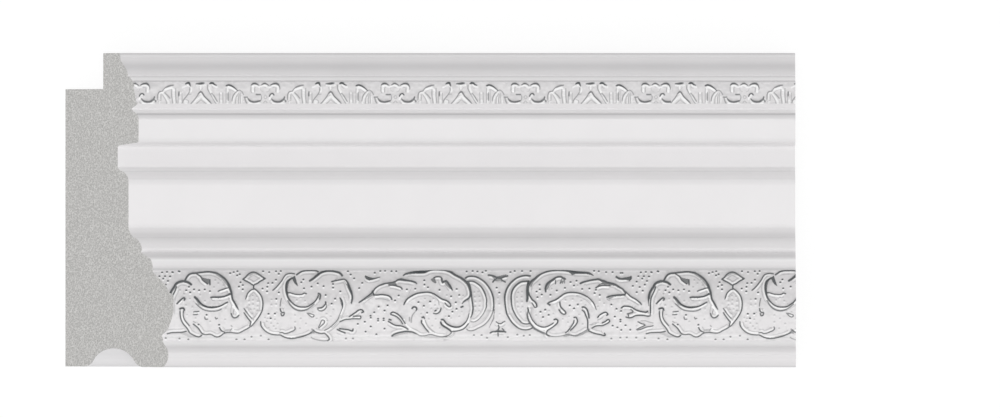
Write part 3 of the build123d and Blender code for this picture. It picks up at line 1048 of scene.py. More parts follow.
# %% second leaf, with a ring in its fold
SECOND_LEAF = """
step .25 48.5,55.2 49.2,54.6 49.9,53.8 50.6,52.9 51,52.2 51.5,51.6 52.2,51.35 52.9,51.3 53.5,51.4
ridge .4 53,52.4 52.4,52.7 51.9,53.2,.5 51.65,53.9 51.6,54.8 51.7,55.6 51.9,56.5,.4 52.3,57.3
    52.9,58,.3 53.6,58.6 54.5,59 55.5,59.1 56.5,59 57.4,58.5 58.2,57.9 58.8,57.1 59.1,56.4
line .3 .85 52,57.6 52.6,58.6 53.4,59.4 54.2,59.8 55.15,59.95 56.4,59.65 57.4,59 58.1,58.4
ridge .25 52,55.75 52.6,55.8 53.2,56 53.9,56.15 54.8,56.2 55.4,56.1 55.8,55.85 56.3,56
step .33 54,51.6 54.6,51.2 55.2,50.85 56,50.7 57,50.65 58,50.65 58.6,50.7 59,50.9
step .45 57.1,53 57.7,52.6 58.4,52.1 59,51.6 59.5,51.2 60.3,50.9 61.2,50.75 62.2,50.75 63.1,50.9
    63.8,51.1 64.3,51.4 64.6,51.8
step .3 62.2,53.2 63,53 64,52.8 64.9,52.65 65.4,52.8 65.9,53.4,.4 66.2,54.2,.55 66.5,55
    66.8,55.7,.5 67,56.6,.35 67,57.3 66.8,58.3,.2
ridge -.3 64.1,57 64.4,57.3 64.65,57.9 64.75,58.5 64.7,59.2,.2 64.5,59.8,.1 64,61 63.7,61.8,.14
    63.2,62.5 62.5,63.2 61.8,63.8 61.2,64.2 60.5,64.5
line .22 .6 64.3,61 63.9,61.9 63.4,62.7 62.8,63.4 62.2,63.8
ridge .3 58.95,59.3 59.6,59.3 60.1,59.1 60.5,58.7 60.8,58.3 60.8,57.9
line .22 .9 58.9,59.6 59.3,59.9 60,59.95 60.6,59.6 60.95,59.1 61,58.4
ridge .3 59.1,55.9 59.5,56.1 59.6,56.5 59.4,57.3
line .18 .85 50.5,57.1 50.3,58 50.2,58.9
groove -.25 50.2,59.4 50.35,60 50.75,60.4 51.15,60.3
line .25 50.4,60.6 50.6,61.1 51,61 51.2,60.5
line .2 .9 56.5,60.5 57,61 57.6,61.4 58,61.3 58.05,60.95 57.5,60.7 56.8,60.5
light .2 57.2,60.9 57.8,61.1
ridge -.16 59.8,62.3 60.15,62.05 60.55,62.3 60.5,62.75 60.1,63.2 59.6,63.6 59.2,64
line .16 59.75,62.4 59.5,63 59.1,63.8
light .2 60.15,62.5 59.85,62.95
groove -.25 45.65,62.5 45.75,63.4 46.2,64.1 46.8,64.7 47.6,65.2 48.5,65.5 49.5,65.6 50.2,65.6
    50.8,65.9 51.5,66.2 52.5,66.4 53.5,66.35 54.5,66.15 55.5,65.9 56.3,65.6 57,65.3 57.5,64.9
line .4 .5 54,66.05 56,65.7
light .35 46.1,63 46.4,63.9 47.3,64.7 48.4,65.1 49.8,65.2
groove -.2 50.1,65.1 50.7,65 51.2,65.25 52,65.15 52.8,64.8 53.3,64.6 53.7,64.2 53.6,63.7
line .2 .8 57.6,64.2 57.7,64.8
groove -.25 57.9,64.4 58.3,64.8 59,65.1 59.8,65.25 60.5,65.2 61,65.6 61.5,66.2 61.6,66.6 61.2,66.9
line .2 .7 61.3,66.85 60.3,66.95 59,66.75 57.8,66.4 57.4,66.1
light .3 59.5,66.3 60.8,66.4
ridge .3 63.5,64.3 64.1,64.6 64.8,64.9 65.3,65.1
ridge .3 64,64.1 65.5,64.3 66.2,64.4 66.8,64.65 67.1,64.6 67.15,64.2
pocket .8 52.9,52.3 53.6,51.8 54,53.1 54.4,54.3 53.8,53.9 53.3,53.3
pocket .5 51.4,55.3 51.6,53.6 52.4,52.5 52.9,52.2 52.2,53.4 51.9,55 51.9,56.2
pocket .5 57.2,52.8 58.9,51.2 60.6,50.65 62.7,50.65 60.6,50.95 59.5,51.6 57.7,53
pocket .5 64.7,52.6 66,54.1 67.1,56.2 67.1,57.6 66.6,58.2 66.8,56.5 66,54.9 65.3,53.4
pocket .45 58.9,56.1 59.6,55.9 59.5,56.8 59.2,57.3
pocket .5 64.1,57.1 64.7,57.6 64.7,59.1 64.4,58.5
pocket .4 50.8,66 52.8,66.2 55.4,65.8 57.6,64.8 57.8,64.5 58.3,65.2 56.6,65.4 54.5,65.9 52.5,66.4
dots 47.6,51 49.2,50.8 50.3,50.75 49.85,51.4 46.2,50.8 49.2,52.75 47.4,53.55 48.4,53.5 47.2,54.4
    46.1,54.8 47.15,55.45 55.6,52.7 55.1,53.35 55.75,54.75 57.5,54.35 58.95,53.6 60.3,54.25
    62.5,53.75 62.5,54.6 64.2,55.45 60.8,56.3 63,57.15 62.2,58.3 49.3,57.2 49.9,55.7 47.5,60.65
    49,60.6 48,61.7 47.5,66.6
pebbles 47.3,61.7 47.9,61.4 49,61.9 47.1,62.4 48.1,62.8 48.7,63.5 49.6,62.9 46.7,61.5 47.5,63.9
    49.2,64.1 49.4,60.3 48.2,57.3 49.3,58.4 48.2,58.5 53.7,60.9 55,61.7 53.7,62.5 56.2,62.9 54.8,64
    58.7,61.7 61,60.6 57.7,60.2 54.1,57.4 55,56.8 56,57.6 56.8,58.4 60,61.4 62,61.2 61.2,62.2
    62.6,59.6
"""
print("rows in the second leaf:", len(read_drawing(SECOND_LEAF)))

# %% [markdown]
# A stem with two sprigs leads on to the third leaf, the longest. It curls round a scroll, and
# its edge is a step that sinks away slowly, which gives the leaf its cushion.

# %% stem, sprigs and third leaf
THIRD_LEAF = """
ridge .4 70.1,52.1 70.8,52.5,.6 71.6,52.55,.4 72.5,52.4,.25 73.4,52.15,.15
ridge .3 66.3,61.3 67,60.85 67.8,60.3 68.5,59.8 69.1,59.7 69.5,59.95 69.6,60.2 69.2,60.4
ridge .25 67.2,61.2 68,61.2 68.9,61.2 69,61.5 68.8,61.8 68,61.8 67.2,61.8 66.3,61.9 65.3,62
    64.1,62.5
step .3 68.6,58 69.5,57.4 70.4,56.7 71.2,56.1 71.8,55.5 72.2,54.9 72.8,54.4 73.6,53.95 74.5,53.65
    75.5,53.5 76.5,53.35 77.1,53.1 77.6,52.8,.4 78.3,52.7,.55 79.2,52.85,.5 80.2,53,.4 81,53.15
    81.7,53.4,.35 82,53.7,.2
ridge .3 75.5,54 76.6,54.05 77.4,54.25 78.2,54.5 78.6,54.9
line .15 .4 75.8,54.6 77.4,54.9 78.2,55.3
ridge .32 72,56.3 72.8,56.3 73.6,56.2 74.4,56.25 75.2,56.4 75.8,56.7 76.1,57.1 76.2,57.3
line .35 71.8,55.6 72,56.3
line .25 .5 72.5,57.2 73.5,57.1 74.3,57.2 75,57.4 75.6,57.6
step .3 78.9,51.75 79.4,51.4 80.2,51.15 81.2,51.05,.5 82.5,51.05,.6 83.8,51,.55 84.6,50.75,.35
    85.5,50.55,.25 86.5,50.5 87.5,50.55 88.5,50.65 89.3,50.8,.4 90,51.05,.5 90.8,51.6 91.6,52
    92.4,52.4 93.1,52.9 93.6,53.4,.45 94,54 94.3,54.9 94.5,55.9 94.35,56.7,.4 93.9,57.2 93.4,57.5
    92.9,57.9,.3 92.6,58.3,.2
ridge .33 94.1,53.4 94.4,54.3 94.6,55.3 94.75,56.4 94.85,57.4 95,58.4 95.1,59.3 95,60.2 94.8,61,.25
    94.5,61.6,.15
line .4 92.35,59.1 92.7,58.95
ridge .3 86,52.3 86.5,52.1 87.1,52.05 87.6,52.2 87.9,52.6
ridge .4 87.8,52.7 88,53.4 88.3,53.2 88.7,53.1 89.1,53.3 89.5,53.9 89.9,54.5 90.3,55.2,.2
step .33 79,58.5 79.3,57.9 79.8,57.2 80.5,56.7 81.3,56.25 82.2,55.9 83.2,55.75 84.2,55.65 85,55.7
    85.8,55.95 86.6,56.4 87.3,56.9 88,57.3 88.7,57.5 89.2,57.75 89.7,58.2 89.95,58.6,.25
ridge -.25 89.95,58.6 89.8,59 89.4,59 88.9,58.6 88.6,58.1
groove .25 87.65,59.3 87.5,59.9 87.1,60.4 86.5,60.65 85.9,60.55
line .3 86.2,60 86.5,59.85
line .15 .6 85.6,56.2 86.4,56.8 87,57.6 87.2,58.6
ridge .3 75.9,60.55 76.3,60.3 76.8,60.35 77.5,60.7 78.1,61.2 78.6,61.8 79,62.4 79.3,62.9
line .28 75.95,60.8 76.6,61 77.3,61.3 77.9,61.8 78.4,62.4 78.7,62.95
line .35 75.6,61.95 76,62.1
ridge .28 75.4,62.4 76,62.8 76.7,63.2 77.4,63.4 78.2,63.45 78.9,63.65 79.6,64 79.95,64.3
groove -.35 76.2,65.8 76.8,65.4 77.6,65.1 78.5,64.9 79.5,64.75 80.3,64.8 81,64.9,.3 81.7,65.2
    82.3,65.5,.14 82.7,65.75 83.5,65.8 84.2,65.7 84.8,65.5 85.5,65.5 86.3,65.75 87.2,65.95 88.2,66
    89,66
light .35 79,62 79.2,62.8 79.8,63.5 80.6,64.1 81.5,64.7 82.5,65.3 83.3,65.5
ridge .35 80.9,59.4 81.2,59.1 81.7,59.1 82,59.5 81.8,60,.2
line .25 .6 81.6,60.2 81,61 80.75,61.9 80.7,62.6
line .25 .6 80.3,61.5 80.3,62.3
ridge .35 83.25,61.5 83.6,61.4 83.85,61.8,.2
ridge -.3 83.1,62.2 83.1,62.7 83.5,63.3 84,64 84.5,64.6 84.8,65,.15
light .3 83.6,62.2 84.2,63.7 84.9,64.5 85.7,65.1 86.8,65.5 88,65.6
line .18 .6 83.95,62.2 84.7,63.7 86.2,65
ridge .35 87.75,62 88.1,61.95 88.5,62.4 88.9,62.9 89.5,63.3 90.2,63.6 91,63.75 91.8,63.7
    92.5,63.4,.3 93.1,62.9 93.6,62.3,.2 93.95,61.5 94.15,60.6,.15
groove -.4 87.6,62.6 87.7,63 88.2,63.5 88.9,63.9 89.5,64.3 89.9,64.7,.3 90,65.1,.2 89.6,65.5,.12
    89,65.85 88,66
light .4 88,62.5 88.6,63.2 89.4,63.9 90.3,64.25 91.3,64.3 92.3,64 93.2,63.4 94,62.5
line .25 90.1,64.8 91,64.7 92,64.5 92.8,64.2 93.4,63.7 94,62.95
pocket .55 72.9,54.2 74.5,53.65 76,53.3 77.2,52.95 77.1,53.5 77.4,54.1 78.2,54.5 77.2,54.3 76,53.9
    74.9,53.8 73.6,54.2
pocket .5 71.4,55.5 72.3,54.7 72,55.6 72.1,56.3 71.4,56.2
pocket .65 69.9,51.7 70.7,52.1 72,52.4 73.4,52.1 72.6,52.5 71,53 70.2,52.7
pocket .5 68.5,58.2 70.5,56.8 71.7,55.9 72.1,56.2 71.1,56.8 69.1,57.9
pocket .55 79,51.7 80.4,51 82.7,50.7 85.3,50.5 84.1,50.95 82.3,51.3
pocket .5 85.2,52.7 86,52.2 86.4,52.9 86.6,53.5 86.2,53.6 85.6,53.2
pocket .5 88.1,53 89,52.8 89.9,54 90.4,55.1 89.7,54.9 88.8,54
pocket .45 90.5,51.2 92.5,52.2 94,53.7 94.8,55.8 94.4,55.5 93.5,53.9 92,52.5
pocket .25 76.1,66.1 77.2,65.1 79,64.7 82.3,65.4 80.4,65.1 78.1,65.5
pocket .15 83.5,66.1 85.4,65.5 87.8,66 89.9,65.4 90.2,64.9 91,65.1 89.7,66 87,66.3
dots 65.95,50.8 66.6,51.55 67.4,52.45 69.3,53.5 68.6,54.7 72.2,51.15 73.5,50.75 74.6,50.7 76.1,50.8
    77.2,50.8 77.8,56.4 76.95,57.55 75.2,58.7 73.15,59 74.5,59.9 72.1,60.3 71.25,61.1 71.3,61.55
    73,61.8 73,62.25 74.3,61.7 74.3,62.15 69.9,62.5 68.3,63 71.3,63.6 74.5,64.1 70.1,64.8 72.6,65.4
    65.5,66.4 67.15,66.4 83.75,52.9 83.8,53.9 84.6,54.5 81.65,54.85 79.7,55 82.4,57.95 83.65,58.8
    85.1,57.8 84.4,60.4 87.3,55.1 91.3,54.9 90,56.6 91.9,56.3 91.1,58 91.25,59.5 90.3,60.15
    89.5,61.2 93.6,50.85 95,50.75 96.1,50.85 97.3,51.05 98.1,50.7 95.3,65.6 97.1,65.6 98.35,66.25
pebbles 85.4,59.4 86.3,58.6 83.9,57.1 85.9,57.1 83,60.6 84.8,61.8 86.4,61.8 85.6,63.4 88.7,61.2
    87.4,63.9 90,61.6 91.9,61.2 92.5,60.1 89,56.3 92.8,56.4 86.8,59.4
"""
print("rows in the stem and third leaf:", len(read_drawing(THIRD_LEAF)))

# %% [markdown]
# Two double crescents stand back to back in the middle of the roller's turn, with a small knot
# above and below. They are drawn one by one, because the real ones aren't quite mirrored.

# %% crescents and the knot between them
CRESCENTS = """
ridge .35 93.3,52.4 93.9,52.05 94.6,51.95 95.4,52 96.2,52.25 97,52.7 97.8,53.3 98.5,54.1 99.1,55
    99.5,55.9 99.8,56.9 99.9,58,.3 99.9,59 99.8,60
groove .2 .75 99.8,60 99.4,61 98.9,61.9 98.2,62.8 97.3,63.5 96.3,64 95.5,64.4,.22 94.7,64.6 94,64.5
    93.6,64.2
ridge .32 93.6,53.2 94.2,53.1 94.9,53.1 95.5,53.3 96.3,53.8 96.9,54.3 97.4,55 97.8,55.8
    98.1,56.7,.25 98.25,57.5 98.2,58.3 98.2,59 98,59.6,.16 97.5,60.6,.12 96.9,61.4 96.2,62.1
    95.4,62.5 94.6,62.5
ridge .38 98.7,51.7 99.4,51.8 100.1,52 100.8,52.3 101.5,52.4 102.3,52.1 103.1,51.9
line .3 100.6,52.5 100.1,52.8 99.7,53.3
line .3 101.6,52.6 102.1,53 102.6,53.3
ridge .2 100.5,62.5 101,62.9 101.6,62.95 102.1,62.6 102.5,62.4
line .25 101,63.3 101.15,63.9 100.9,64.4
line .25 101.9,64.1 102.3,64.5
ridge .3 99.1,65.1 99.7,64.8 100.5,64.75 101.5,64.7 102.3,64.75 102.7,64.9
line .25 100.9,64.9 100.95,65.8
ridge -.37 108.4,51.9 107.5,51.8 106.8,51.85 106,52.05 105.2,52.4 104.4,53,.4 103.7,53.7 103.1,54.6
    102.7,55.6 102.5,56.6 102.5,57.6,.35 102.6,58.7 102.75,59.7 103,60.8
groove -.3 103,60.8 103.5,61.7 104.1,62.6 104.9,63.4 105.7,64,.25 106.5,64.3 107.5,64.4 108.4,64.2
    108.9,63.9
ridge -.4 108.1,53.1 107,53.15 106.2,53.3 105.4,53.8 104.7,54.5 104.2,55.4 104,56.4,.35 104,57.4
    104.1,58.5,.3 104.3,59.5 104.7,60.4 105.2,61.3,.25 105.8,62.1 106.4,62.7 107,62.95 107.8,63
    108.2,62.9
line .15 104.5,60 105,60.9 105.6,61.7 106.3,62.4
ridge -.5 108,53.2 107.8,54.1 107.7,55 107.7,56 107.75,57 107.65,57.7
pocket .5 98.8,51.5 100.6,52 103,51.5 102.3,52.2 101.6,52.6 102.5,53.3 101.4,53 100.4,53 99.6,53.3
    100,52.6
pocket .5 99,65.1 100.2,64.7 100.9,64.2 101.6,64.7 102.8,65 101.6,65.1 100.9,64.9 100.2,65.1
pocket .5 107.7,53.3 108.1,53.2 108.1,57.3 107.7,57.3
pocket .4 98.7,64.2 100,61.8 100.2,58.8 99.8,61.5
dots 100.6,54.6 101.2,55.75 103.8,51 104.8,50.75 106.5,50.75 108.5,50.75 103.2,66.1 105.4,65.5
    106.9,65.75 108.3,65.6
pebbles 95.4,55.6 96.3,55.5 95.5,56.7 96.6,56.6 95.6,57.8 96.7,57.7 95.6,58.9 96.6,58.8 95.7,60
    96.5,59.9 105.6,55.7 106.5,55.5 105.3,56.8 106.4,56.7 105.4,57.9 106.5,57.8 105.6,59 106.6,59
    106.2,60.2 100.9,56.9 101.2,58.3 101.3,60.6
"""
print("rows in the crescents:", len(read_drawing(CRESCENTS)))

# %% [markdown]
# The fourth leaf answers the third, and its tip runs out into sprigs and two small hands of
# leaves. After these the first leaf comes again.

# %% fourth leaf, sprigs and the two small hands of leaves
FOURTH_LEAF = """
step .5 108.1,56.2 107.9,55.2 108,54.3 108.3,53.6 108.8,53 109.5,52.5,.45 110.2,51.9 111,51.4,.35
    112,51 113,50.75 114,50.65 115,50.6 116,50.65 117,50.7,.45 118,50.85 119,51 120,51.05
    121,51.1,.4 122,51.2 122.6,51.45,.3 123.1,51.8,.15
ridge .35 108.1,56.2 108.5,56.8 108.9,57.4 109.4,57.8 109.8,58.3 109.95,58.9
line .22 109.9,59.1 109.5,59.2 109.1,58.6 108.8,58.1
ridge .4 112,55.5 111.95,54.7 112.2,54,.5 112.6,53.5 113.2,53.1 113.8,52.7 114.3,52.3,.4 114.9,52.1
    115.6,52.1 116.1,52.4 116.6,52.6,.3
line .2 114.3,53.7 114.3,52.9
line .2 115.4,53.6 115.7,52.7
line .2 .8 116.4,53.5 116.4,52.8
step .32 112.6,58.1 113.3,57.8 114.1,57.5 114.8,57.1 115.5,56.6 116.2,56.1 117,55.8 118,55.7
    119,55.75 120,55.95 120.9,56.3 121.8,56.8,.25 122.5,57.4 123.1,58.1 123.5,58.9,.2
    123.8,59.7,.15
line .35 112.5,58.3 113,58.6
line .12 .6 119.2,56.4 120.4,56.5 121.3,56.9 122,57.5 122.6,58
ridge .3 115.3,57.9 115.35,58.6 115.6,59.2 116.1,59.7 116.5,60.1 116.7,60.5 116.4,60.75 116,60.7
    115.5,60.3 115.1,59.7
ridge .25 107.9,59.3 108.1,60.2 108.4,61 108.8,61.9 109.3,62.6 109.9,63.2 110.7,63.6 111.6,63.75
    112.4,63.6 113.2,63.2 113.8,62.8
light .4 108.1,59 108.1,60.1 108.3,61.2 108.8,62.3 109.6,63.2 110.6,63.95 111.5,64.25 112.3,64.1
    113.1,63.7 113.9,63.2 114.4,62.6 114.5,62.2
groove -.34 .9 107.85,59.2 107.9,59.9 107.7,60.9 107.9,61.9 108.3,62.7 108.9,63.5 109.5,64.1
    110.2,64.5 111,64.9 111.8,65.2,.22 112.5,65.6 113.2,65.85,.12 114.2,65.95 115,65.9 116,65.75
    117,65.5,.2 117.8,65.6 118.6,65.75 119.4,65.65 120,65.3 120.6,65,.12 121.2,64.6 121.8,64.3
ridge .35 114,62 114.4,61.9 114.8,62.2 114.75,62.7 114.4,63.1 113.8,63.6,.28 113.1,64.1 112.5,64.5
    112.2,65 112.3,65.5 112.8,65.8
ridge .3 118.6,61.5 119,61.45 119.3,61.9 119.4,62.5 119.1,63.1 118.6,63.7 118.1,64.2 117.8,64.5
line .25 118.6,62.2 118.5,62.7 118.1,63.4 117.6,64.1 117.1,64.7 116.6,65.1
ridge .35 120.5,59.1 121,59.1 121.5,59.5 121.8,60.1 122,60.9 122.1,61.6
line .28 120.5,59.8 121,60.2 121.3,60.9 121.6,61.6 121.8,62.4 121.8,63.2 121.8,64 122,64.5
step .4 120.1,53.6 120.8,53.3 121.6,53.1 122.4,52.9 123.4,52.75 124.3,52.65,.45 125,52.9 125.7,53.1
    126.4,53.4 127.4,53.6,.4 128.3,53.9 129.1,54.4,.3 129.8,54.8 130.4,55.4 131.1,56 131.9,56.7
    132.8,57.2 133.5,57.7 134,58.1 134.3,58.5
ridge .3 123.7,54.6 124.3,54.3 125.1,54.1 126,54.1 127,54.1
ridge .35 126.3,56.8 127,56.55 127.9,56.4 128.8,56.3 129.7,56.25 130.5,56.15
line .3 130.5,56.2 130.7,55.6
line .25 .5 126.3,57.2 126.8,57.6
line .15 .6 131,57.2 132,57.6 133,58.1 133.6,58.6
ridge .3 124.1,61.5 124.5,61 125.1,60.6 125.8,60.3 126.2,60.4 126.5,60.8 126.2,61
line .2 .5 124.1,62.1 124.8,61.8 125.3,61.5
ridge .28 125.2,62.7 125.8,62.5 126.3,62.1 126.7,62 126.9,62.4 126.5,62.8 125.9,63.1 125.2,63.4
    124.2,63.4 123.4,63.6 122.8,64
line .15 .6 122.3,63.2 123.2,63.2 123.8,62.9
groove -.3 122,64.6 122.8,65 123.7,65.3 124.7,65.5 125.5,65.7 125.9,65.6 125.7,65.2
line .4 .4 121,64.8 122.3,64.8
ridge .45 128.5,52.1 129.1,52.5 130,52.55 131,52.4 131.8,52.2
line .3 131.9,52 131.9,52.5 131.5,52.9
ridge .32 129.6,59.3 130.1,58.95 130.8,58.9 131.6,59 132.3,59.3 132.9,59.7 133.7,60 134.6,60.2
    135.4,60.3 135.7,60.05
line .22 131,60.65 131.6,60.5 132.2,60.3 132.3,60 131.8,59.6
groove -.28 130.7,61.4 131.4,61.6 132.1,61.5 132.9,61.1 133.8,61 134.8,61.05 135.6,61.2 136.3,61.15
line .25 131.2,60.8 131.3,61.3
ridge .26 .85 133.5,62.5 134.2,62.9 134.9,63.1 135.1,63.3 134.6,63.6 133.9,63.9 133.2,64.3
ridge .24 .85 133.3,64.4 134,64.3 134.8,64 135.6,63.7 136.4,63.6 137,63.4
line .2 .5 134.2,62.3 135.2,62.3 136.2,62.6 137,62.8
pocket .6 115.6,50.45 117.3,50.5 119.4,50.9 122.3,51.3 123.2,51.8 121.1,51.4 119.1,51.4 118.2,51.7
    117.3,50.95
pocket .5 108.5,53 110.6,51.5 111.8,50.95 110.7,51.8 109.2,53.3 108.5,54.7 108.3,53.6
pocket .5 112,55.4 112,54.1 112.8,53 114.4,52.1 114.3,52.7 113.3,53.3 112.5,54.9
pocket .45 115.4,52.2 116.5,52.2 116.6,52.7 115.9,53.7 115.5,53.4 116,52.8
pocket .55 124.3,52.8 127,53.4 129,54.1 130.7,55.7 130.4,56 129.8,55.1 128.1,54.2 126.4,53.9
    124.9,53.8 123.9,54.6 124.2,54 125.2,53.4
pocket .5 126.4,56.8 127.8,56.4 130.4,56.2 130.6,56.5 128.1,56.7 126.8,57.3
pocket .65 128.3,51.9 129.6,52.4 131.9,52 132.1,52.4 131.7,52.9 129.6,52.8 128.7,52.4
pocket .45 108.6,63.9 110.7,65.1 112.4,65.8 114.2,66.1 112.4,65.6 111.8,64.9 110.1,64.4
pocket .35 115.9,65.8 117.3,65 118.7,65.7 121.1,64.6 122.3,64.1 122.3,64.6 120.5,65.6 119,66
    117.9,65.7 116.5,66
dots 110.6,53.9 110.65,55 109.9,55.5 111.1,56.2 110.1,56.8 113.1,56.25 114.6,55.25 116.5,54.65
    117.8,53.3 119.2,53 118.6,54.1 120.5,54.9 122.2,54.8 123.4,55.85 124.6,56.3 117.6,58.7
    119.5,58.5 118.6,59.4 111.9,59.7 110.8,60.2 112.7,60.9 111.4,61.4 123.3,50.7 124.4,50.8
    126.1,51 127.6,51 123.7,55.1 129.55,60 129.5,51.2 129.9,51.2 134.2,51.05 135.35,50.95 136.6,51
    138.1,50.8 133.6,51.95 134.9,51.95 136.1,52 134.5,52.5 133.2,53.2 135.6,53.05 132.3,54.2
    135.1,53.9 133.9,54.45 134.6,55.3 133.2,55.65 127.3,58.5 128.5,59.5 128.1,61.3 129.4,62
    129.4,62.45 127.6,63.4 128.7,63.8 130.6,63.3 129.6,64.4 131.7,64.35 127.3,66.4 129.4,66.2
    130.9,66.15 133.1,66.2 135.1,66.3
pebbles 109.8,60.9 112.8,59.9 109.9,58.9 113.8,60.6 111,62.4 116.6,57.4 118.3,57.2 120.3,57.6
    121.3,58.6 116,61.8 117.4,61.2 119.8,60.8 117.2,62.6 120.6,63 113.4,54.8 119.4,54 121.2,53.8
    124.6,57.5 125.6,58.2 124.2,58.9
"""
print("rows in the fourth leaf:", len(read_drawing(FOURTH_LEAF)))

# %% [markdown]
# Under the ornament the torus is a straight slope, then one round over the crown, and a small
# apron. The ground between the leaves is sunk half a millimetre below that shape, and rises to it
# again at both rims.

# %% ground of the torus
ROLLER = 111.55
GROUND_SUNK = 0.5
ROLL_RADIUS, ROLL_HEIGHT, ROLL_DEPTH = 9.216, 59.468, 16.784
ROLL_START = 52.95
APRON_TOP, APRON_START, APRON_FALL = 65.2, 23.6, 0.5 / 1.8


def torus_ground(h):
    """Depth of the sunk ground at heights h: a 45 degree slope, the roll and the apron."""
    weathering = TORUS_START + (h - TORUS_TOP)
    rolled = ROLL_DEPTH + np.sqrt(np.maximum(ROLL_RADIUS**2 - (h - ROLL_HEIGHT) ** 2, 1))
    apron = APRON_START - (h - APRON_TOP) * APRON_FALL
    depth = np.where(h < ROLL_START, weathering, rolled)
    depth = depth + (apron - depth) * ease((h - 64.7) / 1.1)
    sunk = GROUND_SUNK * ease((h - TORUS_TOP) / 0.5) * ease((66.6 - h) / 0.9)
    return depth - sunk


def carve_torus(relief):
    """Press every figure and its copy one turn on. Dots of the turn before reach in as well."""
    for drawing in (FIRST_LEAF, SECOND_LEAF, THIRD_LEAF, CRESCENTS, FOURTH_LEAF):
        for kind, numbers, points in read_drawing(drawing):
            for shift in (-ROLLER, 0, ROLLER) if kind == "dots" else (0, ROLLER):
                press_row(relief, kind, numbers, points, shift)


print("ground at the crown, mm:", round(float(torus_ground(np.array([ROLL_HEIGHT]))[0]), 2))

# %% [markdown]
# A carved band starts as a grid laid over its strip of the face. Every point of the grid takes the
# depth of the plain section there, less a little for the sunk ground, plus the carving. The rim is
# then extruded down to the flat bed of the recess and closed underneath, so the band is a solid.
# The camera is a little nearer to the bands than to the back, so it sees their patterns up to a
# third of a percent larger, and they are pressed that much smaller about the middle of the view.

# %% a builder for carved bands
VIEW_MIDDLE = 97.0
MITRE_REACH = 30
RIM_EASE = 0.25
FINE_CLOUD, WIDE_CLOUD = 0.55, 1.3
CLOUD_HEIGHT = 0.025
FINE_TONE, WIDE_TONE = 0.07, 0.04
RIM_DROP = 0.1


def carved_band(name, u_range, h_range, spacing, ground, carve, bed, pattern):
    """A closed band from u_range and h_range of the face, carved and set on a flat bed.

    The pattern's two numbers are its growth away from VIEW_MIDDLE and how far up it moves.
    """
    columns = int(round((u_range[1] - u_range[0]) / spacing))
    rows = int(round((h_range[1] - h_range[0]) / spacing))
    u_line, h_line = np.linspace(*u_range, columns + 1), np.linspace(*h_range, rows + 1)
    relief = Relief(u_line + pattern[0] * (u_line - VIEW_MIDDLE), h_line + pattern[1])
    carve(relief)
    relief.u, relief.h = u_line, h_line
    top, foot = h_range
    edge = ease((relief.h - top) / RIM_EASE) * ease((foot - relief.h) / RIM_EASE)
    fine = mottle(relief.u, relief.h, FINE_CLOUD, 1)
    wide = mottle(relief.u, relief.h, WIDE_CLOUD, 2)
    carving = relief.cushion + relief.ridge - relief.hollow + CLOUD_HEIGHT * fine
    carving = carving * edge[:, None]
    depth = ground(relief.h)[:, None] + carving
    only(floor)
    bpy.ops.mesh.primitive_grid_add(x_subdivisions=columns, y_subdivisions=rows, size=2)
    band = bpy.context.object
    band.name = name
    mesh = band.data
    flat = np.empty(len(mesh.vertices) * 3)
    mesh.vertices.foreach_get("co", flat)
    flat = flat.reshape(-1, 3)
    column = np.rint((flat[:, 0] + 1) / 2 * columns).astype(int)
    row = np.rint((1 - flat[:, 1]) / 2 * rows).astype(int)
    x, y, z = place(relief.u[column], relief.h[row], depth[row, column])
    mesh.vertices.foreach_set("co", np.stack([x, y, z], axis=1).ravel())
    # Painted light on the band: painted shade from the strokes and from the list by height, with
    # random tone from the clouds, and painted highlights, cleared where the core of painted shade
    # lies.
    shade_amount, highlight_amount = read_glaze(relief.h)
    glaze_left = np.maximum(relief.glaze, shade_amount[:, None]) + FINE_TONE * fine + WIDE_TONE * wide
    glaze_left = np.clip(np.maximum(glaze_left, relief.ink), 0, 1)
    highlight_layer = np.maximum(relief.painted_highlight, highlight_amount[:, None]) * (1 - relief.ink)
    for label, layer in (("painted_shade_and_mottle", glaze_left), ("painted_highlight", highlight_layer)):
        attribute = mesh.attributes.new(label, "FLOAT", "POINT")
        attribute.data.foreach_set("value", layer[row, column])
    mesh.update()
    bpy.ops.object.mode_set(mode="EDIT")
    bpy.ops.mesh.select_mode(type="EDGE")
    bpy.ops.mesh.select_all(action="DESELECT")
    bpy.ops.mesh.select_non_manifold()
    bpy.ops.mesh.extrude_edges_move(TRANSFORM_OT_translate={"value": (0, 0, -RIM_DROP * MM)})
    bpy.ops.transform.resize(value=(1, 1, 0), center_override=(0, 0, bed * MM))
    bpy.ops.mesh.edge_face_add()
    bpy.ops.object.mode_set(mode="OBJECT")
    if u_range[0] < MITRE_REACH:
        saw_mitre(band)
    finish_piece(band)
    low, high = round(float(carving.min()), 2), round(float(carving.max()), 2)
    print(name, "carving runs from", low, "to", high, "mm")


print("patterns are pressed about u =", VIEW_MIDDLE, "mm")

# %% [markdown]
# The torus is made in three lengths, so that no length is too heavy. They share their cross planes
# point for point, so no gap or step shows. The first starts a little before the mitre, which then
# trims it.

# %% torus in three lengths
TORUS_SPACING = 0.098
TORUS_CUTS = (17.0, 68.0, 119.0, LENGTH)
TORUS_PATTERN = (0.0035, 0.06)

for number in range(3):
    carved_band(
        "carved_torus_%d" % (number + 1),
        (TORUS_CUTS[number], TORUS_CUTS[number + 1]),
        (TORUS_TOP, TORUS_FOOT),
        TORUS_SPACING,
        torus_ground,
        carve_torus,
        TORUS_BED,
        TORUS_PATTERN,
    )

# %% [markdown]
# The frieze repeats a C-shaped scroll and a palmette, about every 30 mm. Its roller was started
# afresh once in this length, so at one place the pattern breaks: a scroll stops short and the
# right half of a palmette follows. The strokes are given from the middle of each figure.

